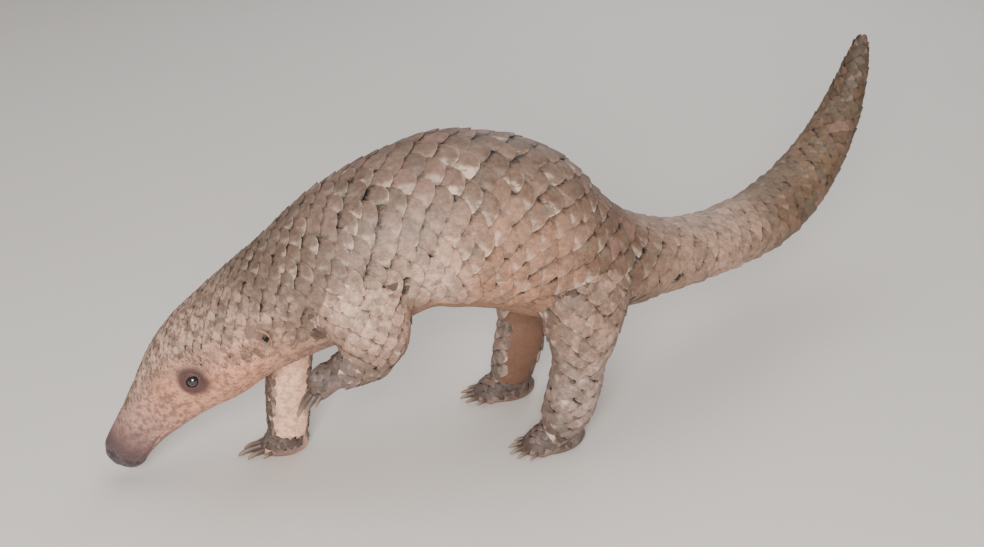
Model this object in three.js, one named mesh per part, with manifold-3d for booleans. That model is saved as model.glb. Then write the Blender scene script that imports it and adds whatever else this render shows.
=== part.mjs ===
// A pangolin walking with its nose to the ground, life size, in millimetres.
// The head points to -X, the animal's left side to -Y and +Z is up. The soles stand at z = 0.

import * as THREE from 'three';
import { mergeVertices } from 'three/addons/utils/BufferGeometryUtils.js';
import Module from 'manifold-3d';

const wasm = await Module();
wasm.setup();

// Clearance between neighbouring parts, and the extra that a cutter made of smooth facets needs.
const gap = 0.3;
const cutterAllowance = 0.7;

// Centre line from the nose to the tip of the tail. Each station has its place, its half width and
// half height, and the angle down each flank, from the crest of the back, that the scales reach.
const bodyStations = {
  noseTip: { at: [-297.5, 37.5, 20.5], half: [7, 9], reach: 30 },
  nose: { at: [-293, 36, 26.8], half: [15, 17.4], reach: 32 },
  snout: { at: [-278.5, 33, 48.2], half: [18, 20], reach: 38 },
  muzzle: { at: [-261.2, 29, 69.6], half: [24.5, 26.4], reach: 44 },
  eye: { at: [-239.6, 24, 94.6], half: [33.5, 36], reach: 58 },
  brow: { at: [-222.6, 18, 111.3], half: [38.5, 41], reach: 80 },
  nape: { at: [-197.4, 10, 133.2], half: [42, 43], reach: 102 },
  neck: { at: [-159.3, 3, 157], half: [48.5, 49.5], reach: 112 },
  shoulder: { at: [-114.9, 0, 178.8], half: [58.5, 60.8], reach: 118 },
  chest: { at: [-72.3, 0, 196.2], half: [63, 62.4], reach: 122 },
  back: { at: [-36.3, 0, 200], half: [65, 68.4], reach: 124 },
  loin: { at: [8.7, 0, 190.3], half: [65.5, 68], reach: 124 },
  hip: { at: [51.2, 0, 165.5], half: [61.5, 59.5], reach: 124 },
  rump: { at: [91.9, 2, 148.5], half: [53.5, 43.4], reach: 132 },
  tailRoot: { at: [134.4, 10, 138.5], half: [45, 31.2], reach: 150 },
  tailA: { at: [183.5, 26, 128.8], half: [38, 24.2], reach: 180 },
  tailB: { at: [235.6, 50, 122.1], half: [34.5, 23.2], reach: 180 },
  tailC: { at: [298.9, 85, 120.4], half: [32.5, 24.6], reach: 180 },
  tailD: { at: [364.6, 125, 138.9], half: [27.5, 22], reach: 180 },
  tailE: { at: [413.6, 155, 180], half: [20.4, 17.4], reach: 180 },
  tailF: { at: [437, 170, 224], half: [11.4, 10], reach: 180 },
  tailTip: { at: [446.4, 178, 248.8], half: [3.4, 3.2], reach: 180 },
};

// Lengths of the body between section planes, as distances along the centre line from the nose tip.
// Rows counts the rows of scales on each flank, or round the whole tail.
const bodyLengths = {
  neck: { from: 194, to: 233, rows: 9, scaleLength: 15, thickness: 2.2 },
  torso_front: { from: 233, to: 333, rows: 9, scaleLength: 20, thickness: 2.8 },
  torso_middle: { from: 333, to: 428, rows: 9, scaleLength: 21, thickness: 3 },
  torso_rear: { from: 428, to: 518, rows: 9, scaleLength: 20, thickness: 2.8 },
  tail_base: { from: 518, to: 658, rows: 14, scaleLength: 20, thickness: 2.6, ringed: true },
  tail_middle: { from: 658, to: 788, rows: 12, scaleLength: 19, thickness: 2.4, ringed: true, rounded: false },
  tail_end: { from: 788, to: 880, rows: 10, scaleLength: 16, thickness: 2, ringed: true, rounded: false },
  tail_tip: { from: 880, to: 931, rows: 8, scaleLength: 11, thickness: 1.2, ringed: true, rounded: false },
};

// The head: its scaled part starts behind the smooth snout, and the nose pad is its front end.
const head = {
  padEnd: 9,
  scalesFrom: 34,
  snoutEnd: 37,
  to: 194,
  rows: 7,
  scaleLength: 13,
  thickness: 1.4,
  rounded: false,
};
const mouth = { from: 10.5, to: 52, angle: 128, lipRadius: 1.7, lipEnd: 3, lipRolls: 3 };
const nostril = { distance: 2.5, angle: 62, length: 5.5, radius: 2.4 };
const eye = { distance: 111, angle: 90, radius: 5.6, bulge: 2.2, lidThickness: 1.5, slit: 0.62 };
const ear = { distance: 174, angle: 89, height: 8, width: 5.5, fold: 2.3, cupDepth: 4 };

// Legs. Each has its crest pointing outwards, and a station gives the half size fore and aft,
// then the half size outwards. The upper and lower lengths are separate lines.
const legReach = 116;
const legs = {
  front_left: {
    out: [0, -1, 0],
    upper: [
      { at: [-120, -30, 186], half: [34, 20] },
      { at: [-117, -45, 165], half: [37, 22] },
      { at: [-112, -55, 145], half: [30, 20] },
      { at: [-108, -58, 127], half: [20, 16] },
      { at: [-107, -58, 116], half: [9, 8] },
    ],
    lower: [
      { at: [-103, -57, 128], half: [11, 10] },
      { at: [-112, -57.5, 124], half: [17, 14.5] },
      { at: [-126, -55, 119], half: [16.5, 14] },
      { at: [-140, -53, 114], half: [14.5, 13] },
    ],
    foot: { at: [-149, -51.5, 110], yaw: 180, pitch: 38, half: [14, 12.5, 12], kind: 'fore' },
  },
  front_right: {
    out: [0, 1, 0],
    upper: [
      { at: [-114, 28, 180], half: [30, 20] },
      { at: [-124, 41, 152], half: [27, 21] },
      { at: [-140, 41, 122], half: [23, 18.5] },
      { at: [-151, 39, 103], half: [20.5, 16.5] },
      { at: [-154, 38.5, 94], half: [10, 8] },
    ],
    lower: [
      { at: [-150, 39, 108], half: [12, 10] },
      { at: [-156, 38, 94], half: [18.5, 15.5] },
      { at: [-160.5, 36, 72], half: [19, 15.5] },
      { at: [-162.5, 35, 46], half: [18.5, 15] },
      { at: [-164, 35, 22], half: [17.5, 14.5] },
      { at: [-165, 35, 12], half: [13, 11] },
    ],
    foot: { at: [-167, 35, 8.5], yaw: 178, pitch: 0, half: [19, 16, 13], kind: 'fore' },
  },
  hind_left: {
    out: [0, -1, 0],
    upper: [
      { at: [62, -26, 174], half: [36, 22] },
      { at: [61, -42, 140], half: [38, 26] },
      { at: [59, -47, 111], half: [30.5, 24] },
      { at: [57, -48, 86], half: [22, 19] },
      { at: [56, -48, 75], half: [12, 10] },
    ],
    lower: [
      { at: [57, -48, 96], half: [13, 11] },
      { at: [56, -48, 82], half: [21, 18] },
      { at: [54, -47, 65], half: [22, 18.5] },
      { at: [51.5, -44, 46], half: [22, 18] },
      { at: [48, -41, 29], half: [20, 17] },
      { at: [46, -39, 16], half: [15, 13] },
    ],
    foot: { at: [42, -37, 9], yaw: 184, pitch: 0, half: [27, 16.5, 14], kind: 'hind' },
  },
  hind_right: {
    out: [0, 1, 0],
    upper: [
      { at: [62, 28, 172], half: [36, 22] },
      { at: [56, 44, 134], half: [36, 25] },
      { at: [50, 48, 102], half: [30, 23] },
      { at: [45, 47, 79], half: [22, 18] },
      { at: [44, 47, 69], half: [12, 10] },
    ],
    lower: [
      { at: [46, 47, 90], half: [13, 11] },
      { at: [45, 47, 76], half: [21.5, 17.5] },
      { at: [43, 47, 60], half: [22, 18] },
      { at: [40, 49, 42], half: [21, 17] },
      { at: [37, 51, 27], half: [19, 16] },
      { at: [36, 52, 15], half: [14, 12] },
    ],
    foot: { at: [32, 53, 9], yaw: 176, pitch: 0, half: [27, 16.5, 14], kind: 'hind' },
  },
};
const upperLegScales = {
  rows: 5,
  scaleLength: 19,
  thickness: () => 2.2,
  rounded: false,
  cutterSides: 20,
};
const lowerLegScales = {
  rows: 5,
  scaleLength: 15,
  thickness: () => 1.9,
  rounded: false,
  cutterSides: 20,
};

// Digits from the inside to the outside of a foot: side step and forward step as shares of the
// foot's half width and half length, toe radius, claw length and claw radius.
const digits = {
  fore: [
    { side: -0.66, forward: 0.5, toe: 4, claw: 9, clawRadius: 2 },
    { side: -0.36, forward: 0.78, toe: 4.6, claw: 17, clawRadius: 2.7 },
    { side: 0, forward: 0.86, toe: 5, claw: 23, clawRadius: 3.3 },
    { side: 0.36, forward: 0.76, toe: 4.6, claw: 17, clawRadius: 2.7 },
    { side: 0.66, forward: 0.48, toe: 4, claw: 9, clawRadius: 2 },
  ],
  hind: [
    { side: -0.72, forward: 0.62, toe: 4.4, claw: 8, clawRadius: 2 },
    { side: -0.38, forward: 0.82, toe: 4.8, claw: 10.5, clawRadius: 2.4 },
    { side: 0, forward: 0.88, toe: 5, claw: 11.5, clawRadius: 2.6 },
    { side: 0.38, forward: 0.82, toe: 4.8, claw: 10.5, clawRadius: 2.4 },
    { side: 0.72, forward: 0.62, toe: 4.4, claw: 8, clawRadius: 2 },
  ],
};
const clawCurl = { fore: 80, hind: 55 };
const clawFloorClearance = 0.6;

const material = (color, roughness) =>
  new THREE.MeshStandardMaterial({ color, roughness, metalness: 0, flatShading: true });
const scaleHorn = material(0x8a7b6c, 0.55);
const bareSkin = material(0xb09488, 0.75);
const nosePad = material(0x5c4a50, 0.5);
const clawHorn = material(0x4a3f37, 0.4);
const eyeGloss = material(0x16100e, 0.1);

// Small random numbers, the same on every run.
let seed = 20417;
function random() {
  seed = (seed + 0x6d2b79f5) | 0;
  let mixed = Math.imul(seed ^ (seed >>> 15), 1 | seed);
  mixed = (mixed + Math.imul(mixed ^ (mixed >>> 7), 61 | mixed)) ^ mixed;
  return ((mixed ^ (mixed >>> 14)) >>> 0) / 4294967296;
}
const jitter = (share) => (random() * 2 - 1) * share;
const radians = THREE.MathUtils.degToRad;

// A line of flesh: a smooth curve through stations with an elliptical section at every distance.
class FleshLine {
  constructor(stations, crest) {
    this.crest = new THREE.Vector3(...crest);
    this.path = new THREE.CatmullRomCurve3(
      stations.map((station) => new THREE.Vector3(...station.at)),
      false,
      'centripetal',
    );
    this.girth = new THREE.CatmullRomCurve3(
      stations.map((station) => new THREE.Vector3(...station.half, station.reach ?? legReach)),
      false,
      'centripetal',
    );
    this.lengths = this.path.getLengths(600);
    this.length = this.lengths[this.lengths.length - 1];
  }

  // Share of the curve's own parameter at a distance along it.
  parameter(distance) {
    let low = 0;
    let high = this.lengths.length - 1;
    while (high - low > 1) {
      const middle = (low + high) >> 1;
      if (this.lengths[middle] <= distance) low = middle;
      else high = middle;
    }
    const share = (distance - this.lengths[low]) / (this.lengths[high] - this.lengths[low]);
    return (low + share) / (this.lengths.length - 1);
  }

  frame(distance) {
    const within = THREE.MathUtils.clamp(distance, 0, this.length);
    const t = this.parameter(within);
    const along = this.path.getTangent(t);
    const centre = this.path.getPoint(t).addScaledVector(along, distance - within);
    const side = new THREE.Vector3().crossVectors(along, this.crest).normalize();
    const up = new THREE.Vector3().crossVectors(side, along);
    const girth = this.girth.getPoint(t);
    return { centre, along, side, up, girth };
  }

  // Surface point at an angle from the crest, raised above the flesh by lift.
  point(distance, angle, lift = 0) {
    const { centre, side, up, girth } = this.frame(distance);
    centre.addScaledVector(side, (girth.x + lift) * Math.sin(angle));
    return centre.addScaledVector(up, (girth.y + lift) * Math.cos(angle));
  }

  // How far outside the flesh a point lies: 1 on the surface, 2 at twice the half size.
  outside(point) {
    let nearest = Infinity;
    for (let k = 0; k <= 12; k += 1) {
      const { centre, girth } = this.frame((this.length * k) / 12);
      nearest = Math.min(nearest, centre.distanceTo(point) / Math.max(girth.x, girth.y));
    }
    return nearest;
  }
}

function closedGeometry(points, faces) {
  const geometry = new THREE.BufferGeometry();
  geometry.setAttribute('position', new THREE.Float32BufferAttribute(points.flatMap((p) => p.toArray()), 3));
  geometry.setIndex(faces.flat());
  return geometry;
}

function toSolid(source) {
  const bare = source.clone();
  bare.deleteAttribute('normal');
  bare.deleteAttribute('uv');
  const merged = mergeVertices(bare, 1e-4);
  return new wasm.Manifold(
    new wasm.Mesh({
      numProp: 3,
      vertProperties: new Float32Array(merged.attributes.position.array),
      triVerts: new Uint32Array(merged.index.array),
    }),
  );
}

const largest = (solid) => solid.decompose().reduce((a, b) => (b.volume() > a.volume() ? b : a));

// A smooth skin round a length of flesh, with flat ends.
function smoothSkin(line, { from, to, rings, sides, lift = () => 0, extra = 0 }) {
  const points = [];
  const faces = [];
  for (let i = 0; i <= rings; i += 1) {
    const distance = from + ((to - from) * i) / rings;
    for (let j = 0; j < sides; j += 1) {
      const angle = (2 * Math.PI * j) / sides;
      points.push(line.point(distance, angle, lift(line.point(distance, angle)) + extra));
    }
  }
  for (let i = 0; i < rings; i += 1) {
    for (let j = 0; j < sides; j += 1) {
      const a = i * sides + j;
      const b = i * sides + ((j + 1) % sides);
      faces.push([a, b, b + sides], [a, b + sides, a + sides]);
    }
  }
  const start = points.push(line.frame(from).centre) - 1;
  const end = points.push(line.frame(to).centre) - 1;
  for (let j = 0; j < sides; j += 1) {
    const next = (j + 1) % sides;
    faces.push([start, next, j], [end, rings * sides + j, rings * sides + next]);
  }
  return toSolid(closedGeometry(points, faces));
}

// Overlapping scales over a length of flesh. Rings and columns make a lattice, and each diamond
// whose ring and column add to an even number is the bare face of one scale: its front corner is
// sunk, its side corners are half raised and its tip, to the rear, stands its full thickness up.
// A step at each rear edge goes down to the scales behind. An open skin leaves a bare strip.
function scaledSkin(line, look) {
  const { from, to, rows, scaleLength, thickness, ringed = false, rounded = true } = look;
  const bareColumns = 8;
  const rings = 2 * Math.max(2, Math.round((to - from) / scaleLength));
  const step = (to - from) / rings;
  const points = [];
  const faces = [];
  const numbers = new Map();
  const shifts = new Map();

  const angleOf = (distance, column) => {
    if (ringed) return (2 * Math.PI * column) / rows;
    return (radians(line.frame(distance).girth.z) * column) / rows;
  };
  const wrap = (column) => (ringed ? (column + rows) % rows : column);
  const shiftAt = (ring, column) => {
    const key = `${ring} ${column}`;
    if (!shifts.has(key)) {
      const edge = ring === 0 || ring === rings;
      const rim = !ringed && Math.abs(column) === rows;
      shifts.set(key, {
        ring: edge ? 0 : jitter(0.16),
        column: rim ? 0 : jitter(0.12),
        height: 1 + jitter(0.2),
      });
    }
    return shifts.get(key);
  };
  const place = (ring, column, height, shift) => {
    const distance = from + step * (ring + shift.ring);
    const angle = angleOf(distance, column + shift.column);
    const raised = height * thickness(line.point(distance, angle)) * shift.height;
    return points.push(line.point(distance, angle, raised)) - 1;
  };
  // A lattice point at one of its heights: 0 sunk, 0.5 half raised, 1 fully raised.
  const corner = (ring, column, height) => {
    const key = `${ring} ${wrap(column)} ${height}`;
    if (!numbers.has(key)) numbers.set(key, place(ring, column, height, shiftAt(ring, wrap(column))));
    return numbers.get(key);
  };
  const still = { ring: 0, column: 0, height: 1 };
  const rim = (ring, column) => place(ring, column, 0.8, still);
  const roundness = 0.63;

  const endPoints = { 0: [], [rings]: [] };
  const firstColumn = ringed ? 0 : -rows;
  const lastColumn = ringed ? rows - 1 : rows;
  for (let i = 0; i <= rings; i += 1) {
    for (let j = firstColumn; j <= lastColumn; j += 1) {
      const isEnd = i === 0 || i === rings;
      if ((i + j) % 2 !== 0) {
        if (isEnd) endPoints[i].push(corner(i, j, 0.5));
        continue;
      }
      const hasLeft = ringed || j > -rows;
      const hasRight = ringed || j < rows;
      const front = isEnd && i === 0 ? place(0, j, 0.5, still) : corner(i - 1, j, 0);
      const left = hasLeft && corner(i, j - 1, 0.5);
      const right = hasRight && corner(i, j + 1, 0.5);
      if (isEnd && i === 0) endPoints[0].push(front);
      if (i === rings) {
        const back = place(rings, j, 0.5, still);
        endPoints[rings].push(back);
        faces.push([front, right, back], [front, back, left]);
        continue;
      }
      const tip = corner(i + 1, j, 1);
      const underTip = corner(i + 1, j, 0.5);
      if (hasRight) {
        const under = corner(i, j + 1, 0);
        if (rounded) {
          const bend = rim(i + roundness, j + roundness);
          faces.push([front, right, bend], [front, bend, tip]);
          faces.push([bend, right, under], [bend, under, underTip], [bend, underTip, tip]);
        } else {
          faces.push([front, right, tip], [tip, right, under], [tip, under, underTip]);
        }
      }
      if (hasLeft) {
        const under = corner(i, j - 1, 0);
        if (rounded) {
          const bend = rim(i + roundness, j - roundness);
          faces.push([front, tip, bend], [front, bend, left]);
          faces.push([bend, tip, underTip], [bend, underTip, under], [bend, under, left]);
        } else {
          faces.push([front, tip, left], [left, tip, underTip], [left, underTip, under]);
        }
      }
      const below = corner(i + 1, j, 0);
      if (!hasRight) faces.push([tip, front, underTip], [underTip, front, below]);
      if (!hasLeft) faces.push([front, tip, underTip], [front, underTip, below]);
    }
  }

  // The bare strip joins the two lower edges, and its own points are shared with the ends.
  if (!ringed) {
    const strips = [];
    for (let i = 0; i <= rings; i += 2) {
      const distance = from + step * i;
      const edge = radians(line.frame(distance).girth.z);
      const strip = [corner(i, rows, 0)];
      for (let k = 1; k < bareColumns; k += 1) {
        const angle = edge + ((2 * Math.PI - 2 * edge) * k) / bareColumns;
        strip.push(points.push(line.point(distance, angle)) - 1);
      }
      strip.push(corner(i, -rows, 0));
      strips.push(strip);
    }
    for (let i = 0; i < strips.length - 1; i += 1) {
      for (let k = 0; k < bareColumns; k += 1) {
        const [a, b] = [strips[i][k], strips[i][k + 1]];
        const [c, d] = [strips[i + 1][k + 1], strips[i + 1][k]];
        faces.push([a, b, c], [a, c, d]);
      }
    }
    endPoints[0].push(...strips[0]);
    endPoints[rings].push(...strips[strips.length - 1]);
  }
  for (const ring of [0, rings]) {
    const centre = points.push(line.frame(from + step * ring).centre) - 1;
    endPoints[ring].forEach((point, k, all) => {
      const next = all[(k + 1) % all.length];
      faces.push(ring === 0 ? [centre, next, point] : [centre, point, next]);
    });
  }
  return toSolid(closedGeometry(points, faces));
}

// The smooth cutter that keeps the neighbours of a scaled length clear of it.
function cutterOf(line, look) {
  return smoothSkin(line, {
    from: look.from - gap,
    to: look.to + gap,
    rings: Math.max(5, Math.round((look.to - look.from) / 11)),
    sides: look.cutterSides ?? 30,
    lift: look.thickness,
    extra: gap + cutterAllowance,
  });
}

const body = new FleshLine(Object.values(bodyStations), [0, 0, 1]);
const legLines = Object.entries(legs).map(([name, leg]) => ({
  name,
  leg,
  upper: new FleshLine(leg.upper, leg.out),
  lower: new FleshLine(leg.lower, leg.out),
}));

// Scales of the trunk grow thin towards each leg's root, where the leg meets the body.
function trunkThickness(thickness) {
  return (point) => {
    const clear = Math.min(...legLines.map(({ upper }) => upper.outside(point)));
    return thickness * (0.12 + 0.88 * THREE.MathUtils.smoothstep(clear, 0.9, 1.5));
  };
}

function ellipsoid(radii, centre, matrix = new THREE.Matrix4(), segments = 10) {
  const geometry = new THREE.SphereGeometry(1, segments, Math.round(segments * 0.6));
  geometry.scale(...radii).translate(...centre).applyMatrix4(matrix);
  return toSolid(geometry);
}

// Everything below a level, which trims the soles flat and keeps the claws off the floor.
function floorBlock(level) {
  const [size, depth] = [1200, 100];
  return toSolid(new THREE.BoxGeometry(size, size, depth).translate(0, 0, level - depth / 2));
}

const group = new THREE.Group();
group.name = 'pangolin';
function addPart(name, solid, look) {
  const { vertProperties, triVerts } = largest(solid).getMesh();
  const geometry = new THREE.BufferGeometry();
  geometry.setAttribute('position', new THREE.BufferAttribute(new Float32Array(vertProperties), 3));
  geometry.setIndex(new THREE.BufferAttribute(new Uint32Array(triVerts), 1));
  geometry.computeVertexNormals();
  const mesh = new THREE.Mesh(geometry, look);
  mesh.name = name;
  group.add(mesh);
}

// Neck, trunk and tail.
const trunkCutters = [];
for (const [name, length] of Object.entries(bodyLengths)) {
  const look = {
    ...length,
    from: length.from + gap / 2,
    to: length.to - gap / 2,
    thickness: trunkThickness(length.thickness),
  };
  addPart(name, scaledSkin(body, look), scaleHorn);
  if (!length.ringed) trunkCutters.push(cutterOf(body, look));
}
// Where a distance and angle on the head lie, with the outward direction there.
function headSpot(distance, angle) {
  const surface = body.point(distance, angle);
  const outward = surface.clone().sub(body.frame(distance).centre).normalize();
  return { surface, outward };
}

// The head: a smooth snout joined to the scaled crown, with lips, lids and the cups of the ears.
const headLook = {
  ...head,
  from: head.scalesFrom,
  to: head.to - gap / 2,
  thickness: () => head.thickness,
};
const snout = (extra) =>
  smoothSkin(body, { from: head.padEnd + gap, to: head.snoutEnd, rings: 4, sides: 18, extra });
let headSolid = scaledSkin(body, headLook).add(snout(-0.3));

// Each lip is a row of joined rolls from beside the nose back to the corner of the mouth.
function lip(sign) {
  const angle = sign * radians(mouth.angle);
  const length = mouth.to - mouth.from - 2 * mouth.lipEnd;
  const route = [];
  for (let k = 0; k <= mouth.lipRolls; k += 1) {
    const distance = mouth.from + mouth.lipEnd + (length * k) / mouth.lipRolls;
    route.push(body.point(distance, angle, -mouth.lipRadius / 4));
  }
  const half = [mouth.lipRadius, mouth.lipRadius];
  const rolls = route.slice(1).map((point, k) => {
    const line = new FleshLine([route[k], point].map((p) => ({ at: p.toArray(), half })), [0, 1, 0.3]);
    return smoothSkin(line, { from: -0.5, to: line.length + 0.5, rings: 1, sides: 6 });
  });
  return wasm.Manifold.union(rolls);
}
headSolid = headSolid.add(lip(-1)).add(lip(1));

// The lower jaw: what lies under a chord across each section, between the corners of the mouth.
function jawBlock(extra) {
  const points = [];
  const faces = [];
  const rings = 8;
  const sides = 14;
  for (let i = 0; i <= rings; i += 1) {
    const distance = mouth.from - extra + ((mouth.to - mouth.from + 2 * extra) * i) / rings;
    const { girth } = body.frame(distance);
    const angle = radians(mouth.angle) - extra / girth.y;
    for (let j = 0; j <= sides; j += 1) {
      const turn = angle + ((2 * Math.PI - 2 * angle) * j) / sides;
      points.push(body.point(distance, turn, 6 / Math.max(0.4, Math.sin(angle))));
    }
  }
  const count = sides + 1;
  for (let i = 0; i < rings; i += 1) {
    for (let j = 0; j < count; j += 1) {
      const a = i * count + j;
      const b = i * count + ((j + 1) % count);
      faces.push([a, b, b + count], [a, b + count, a + count]);
    }
  }
  for (let j = 1; j < sides; j += 1) {
    faces.push([0, j + 1, j], [rings * count, rings * count + j, rings * count + j + 1]);
  }
  return toSolid(closedGeometry(points, faces));
}
const jawSolid = headSolid.intersect(jawBlock(0));
headSolid = headSolid.subtract(jawBlock(gap));

// An eye is a ball under lids that leave an almond opening.
for (const [sideName, sign] of [['left', 1], ['right', -1]]) {
  const { surface, outward } = headSpot(eye.distance, sign * radians(eye.angle));
  const centre = surface.clone().addScaledVector(outward, eye.bulge - eye.radius);
  const ball = (radius) => toSolid(new THREE.SphereGeometry(radius, 10, 7).translate(...centre));
  const { along, up } = body.frame(eye.distance);
  const turn = new THREE.Matrix4().makeBasis(along, up.clone().cross(along), up);
  const slitCentre = surface.clone().addScaledVector(outward, eye.bulge);
  turn.setPosition(slitCentre);
  const opening = ellipsoid([eye.radius * 1.05, eye.radius, eye.radius * eye.slit], [0, 0, 0], turn);
  headSolid = headSolid.add(ball(eye.radius + eye.lidThickness)).subtract(opening);
  headSolid = headSolid.subtract(ball(eye.radius + gap));
  addPart(`eye_${sideName}`, ball(eye.radius), eyeGloss);
}

// The ear is a low fold of skin behind a cup.
const headCutter = cutterOf(body, headLook);
for (const [sideName, sign] of [['left', 1], ['right', -1]]) {
  const { surface, outward } = headSpot(ear.distance, sign * radians(ear.angle));
  const { along, up } = body.frame(ear.distance);
  const cup = new THREE.Matrix4().makeBasis(along, outward.clone().cross(along), outward);
  cup.setPosition(surface);
  headSolid = headSolid.subtract(ellipsoid([ear.width, ear.height, ear.cupDepth], [0, 0, 0], cup));
  const stations = [];
  for (let k = -4; k <= 4; k += 1) {
    const turn = radians(24 * k);
    const at = surface
      .clone()
      .addScaledVector(along, (ear.width + 1.5) * Math.cos(turn))
      .addScaledVector(up, (ear.height + 1.5) * Math.sin(turn))
      .addScaledVector(outward, 2.2);
    const size = ear.fold * (1 - 0.5 * (k / 4) ** 2);
    stations.push({ at: at.toArray(), half: [size * 0.7, size * 1.9] });
  }
  const line = new FleshLine(stations, outward.toArray());
  const fold = smoothSkin(line, { from: 0, to: line.length, rings: 8, sides: 8 });
  addPart(`ear_${sideName}`, fold.subtract(headCutter), bareSkin);
}
addPart('head', headSolid, scaleHorn);
addPart('jaw', jawSolid, bareSkin);

// The nose pad closes the snout, with a nostril on each side.
let noseSolid = smoothSkin(body, { from: 0, to: head.padEnd, rings: 3, sides: 18, extra: -0.3 });
for (const sign of [-1, 1]) {
  const { surface } = headSpot(nostril.distance, sign * radians(nostril.angle));
  const { along } = body.frame(0);
  const { length, radius } = nostril;
  const turn = new THREE.Matrix4().lookAt(new THREE.Vector3(), along, new THREE.Vector3(0, 0, 1));
  turn.setPosition(surface);
  noseSolid = noseSolid.subtract(ellipsoid([radius * 0.7, radius, length], [0, 0, 0], turn));
}
addPart('nose', noseSolid, nosePad);

// A foot is a pad with five toes, each with a curved claw of its own.
function footMatrix(foot) {
  const matrix = new THREE.Matrix4().makeRotationZ(radians(foot.yaw));
  matrix.multiply(new THREE.Matrix4().makeRotationY(radians(foot.pitch)));
  return matrix.setPosition(...foot.at);
}
function footForm(foot, extra) {
  const [length, width, height] = foot.half;
  const matrix = footMatrix(foot);
  const grown = (radii) => radii.map((radius) => radius + extra);
  const lumps = [ellipsoid(grown([length, width, height]), [0, 0, 0], matrix, 10)];
  for (const digit of digits[foot.kind]) {
    const centre = [length * digit.forward, width * digit.side, -height * 0.35];
    lumps.push(ellipsoid(grown([digit.toe * 1.7, digit.toe, digit.toe]), centre, matrix, 6));
  }
  return wasm.Manifold.union(lumps);
}
function clawForm(foot, digit) {
  const [length, width, height] = foot.half;
  const matrix = footMatrix(foot);
  const curl = radians(clawCurl[foot.kind]);
  const spread = digit.side * 0.5;
  const stations = [];
  const steps = 6;
  for (let k = 0; k <= steps; k += 1) {
    const share = k / steps;
    const reach = (digit.claw + digit.toe) * (Math.sin(curl * share) / curl);
    const drop = (digit.claw + digit.toe) * ((1 - Math.cos(curl * share)) / curl);
    const at = new THREE.Vector3(
      length * digit.forward + digit.toe * 0.7 + reach,
      width * digit.side + reach * spread,
      -height * 0.35 + digit.toe * 0.25 - drop * 0.35,
    ).applyMatrix4(matrix);
    const size = digit.clawRadius * (1 - share) ** 0.6 + 0.35;
    stations.push({ at: at.toArray(), half: [size * 0.75, size] });
  }
  const crest = new THREE.Vector3(0, 0, 1).transformDirection(matrix);
  const line = new FleshLine(stations, crest.toArray());
  return smoothSkin(line, { from: 0, to: line.length, rings: 3, sides: 5 });
}

const floor = floorBlock(0);
const clawFloor = floorBlock(clawFloorClearance);
const trunkCutter = wasm.Manifold.union([headCutter, ...trunkCutters]);
for (const { name, leg, upper, lower } of legLines) {
  const upperLook = { ...upperLegScales, from: 0, to: upper.length };
  const lowerLook = { ...lowerLegScales, from: 0, to: lower.length };
  const footCutter = footForm(leg.foot, gap);
  const lowerCutter = cutterOf(lower, lowerLook);
  const upperSolid = scaledSkin(upper, upperLook).subtract(trunkCutter);
  const lowerSolid = scaledSkin(lower, lowerLook)
    .subtract(cutterOf(upper, upperLook))
    .subtract(trunkCutter);
  addPart(`${name}_upper`, upperSolid, scaleHorn);
  addPart(`${name}_lower`, lowerSolid, scaleHorn);
  addPart(`${name}_foot`, footForm(leg.foot, 0).subtract(lowerCutter).subtract(floor), bareSkin);
  digits[leg.foot.kind].forEach((digit, k) => {
    const claw = clawForm(leg.foot, digit).subtract(footCutter).subtract(clawFloor);
    addPart(`${name}_claw_${k + 1}`, claw, clawHorn);
  });
}

// The origin goes to the middle of the box round the animal, on the floor.
group.updateMatrixWorld(true);
const box = new THREE.Box3().setFromObject(group);
group.position.set(-(box.min.x + box.max.x) / 2, -(box.min.y + box.max.y) / 2, 0);

export default group;
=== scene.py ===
import math

import bmesh
import bpy
import numpy as np
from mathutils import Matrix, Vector


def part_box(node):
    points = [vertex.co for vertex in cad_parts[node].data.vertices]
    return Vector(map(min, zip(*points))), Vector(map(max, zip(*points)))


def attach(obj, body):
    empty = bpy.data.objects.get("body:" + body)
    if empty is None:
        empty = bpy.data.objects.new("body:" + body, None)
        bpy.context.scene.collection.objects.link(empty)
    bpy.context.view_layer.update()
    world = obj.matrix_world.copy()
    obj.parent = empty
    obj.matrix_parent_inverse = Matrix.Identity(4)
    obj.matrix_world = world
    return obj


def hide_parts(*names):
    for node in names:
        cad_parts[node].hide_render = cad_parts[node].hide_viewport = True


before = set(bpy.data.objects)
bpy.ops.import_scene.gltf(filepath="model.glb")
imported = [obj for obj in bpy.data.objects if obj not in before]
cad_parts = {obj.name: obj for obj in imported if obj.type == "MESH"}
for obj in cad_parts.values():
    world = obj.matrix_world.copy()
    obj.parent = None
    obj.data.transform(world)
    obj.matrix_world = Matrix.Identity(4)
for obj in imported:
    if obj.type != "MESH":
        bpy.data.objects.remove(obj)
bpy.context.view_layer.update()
print("frame loaded")

# Shapes are worked out in millimetres and put in the frame by place().
mm = 0.001
random = np.random.default_rng(71)

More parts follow.
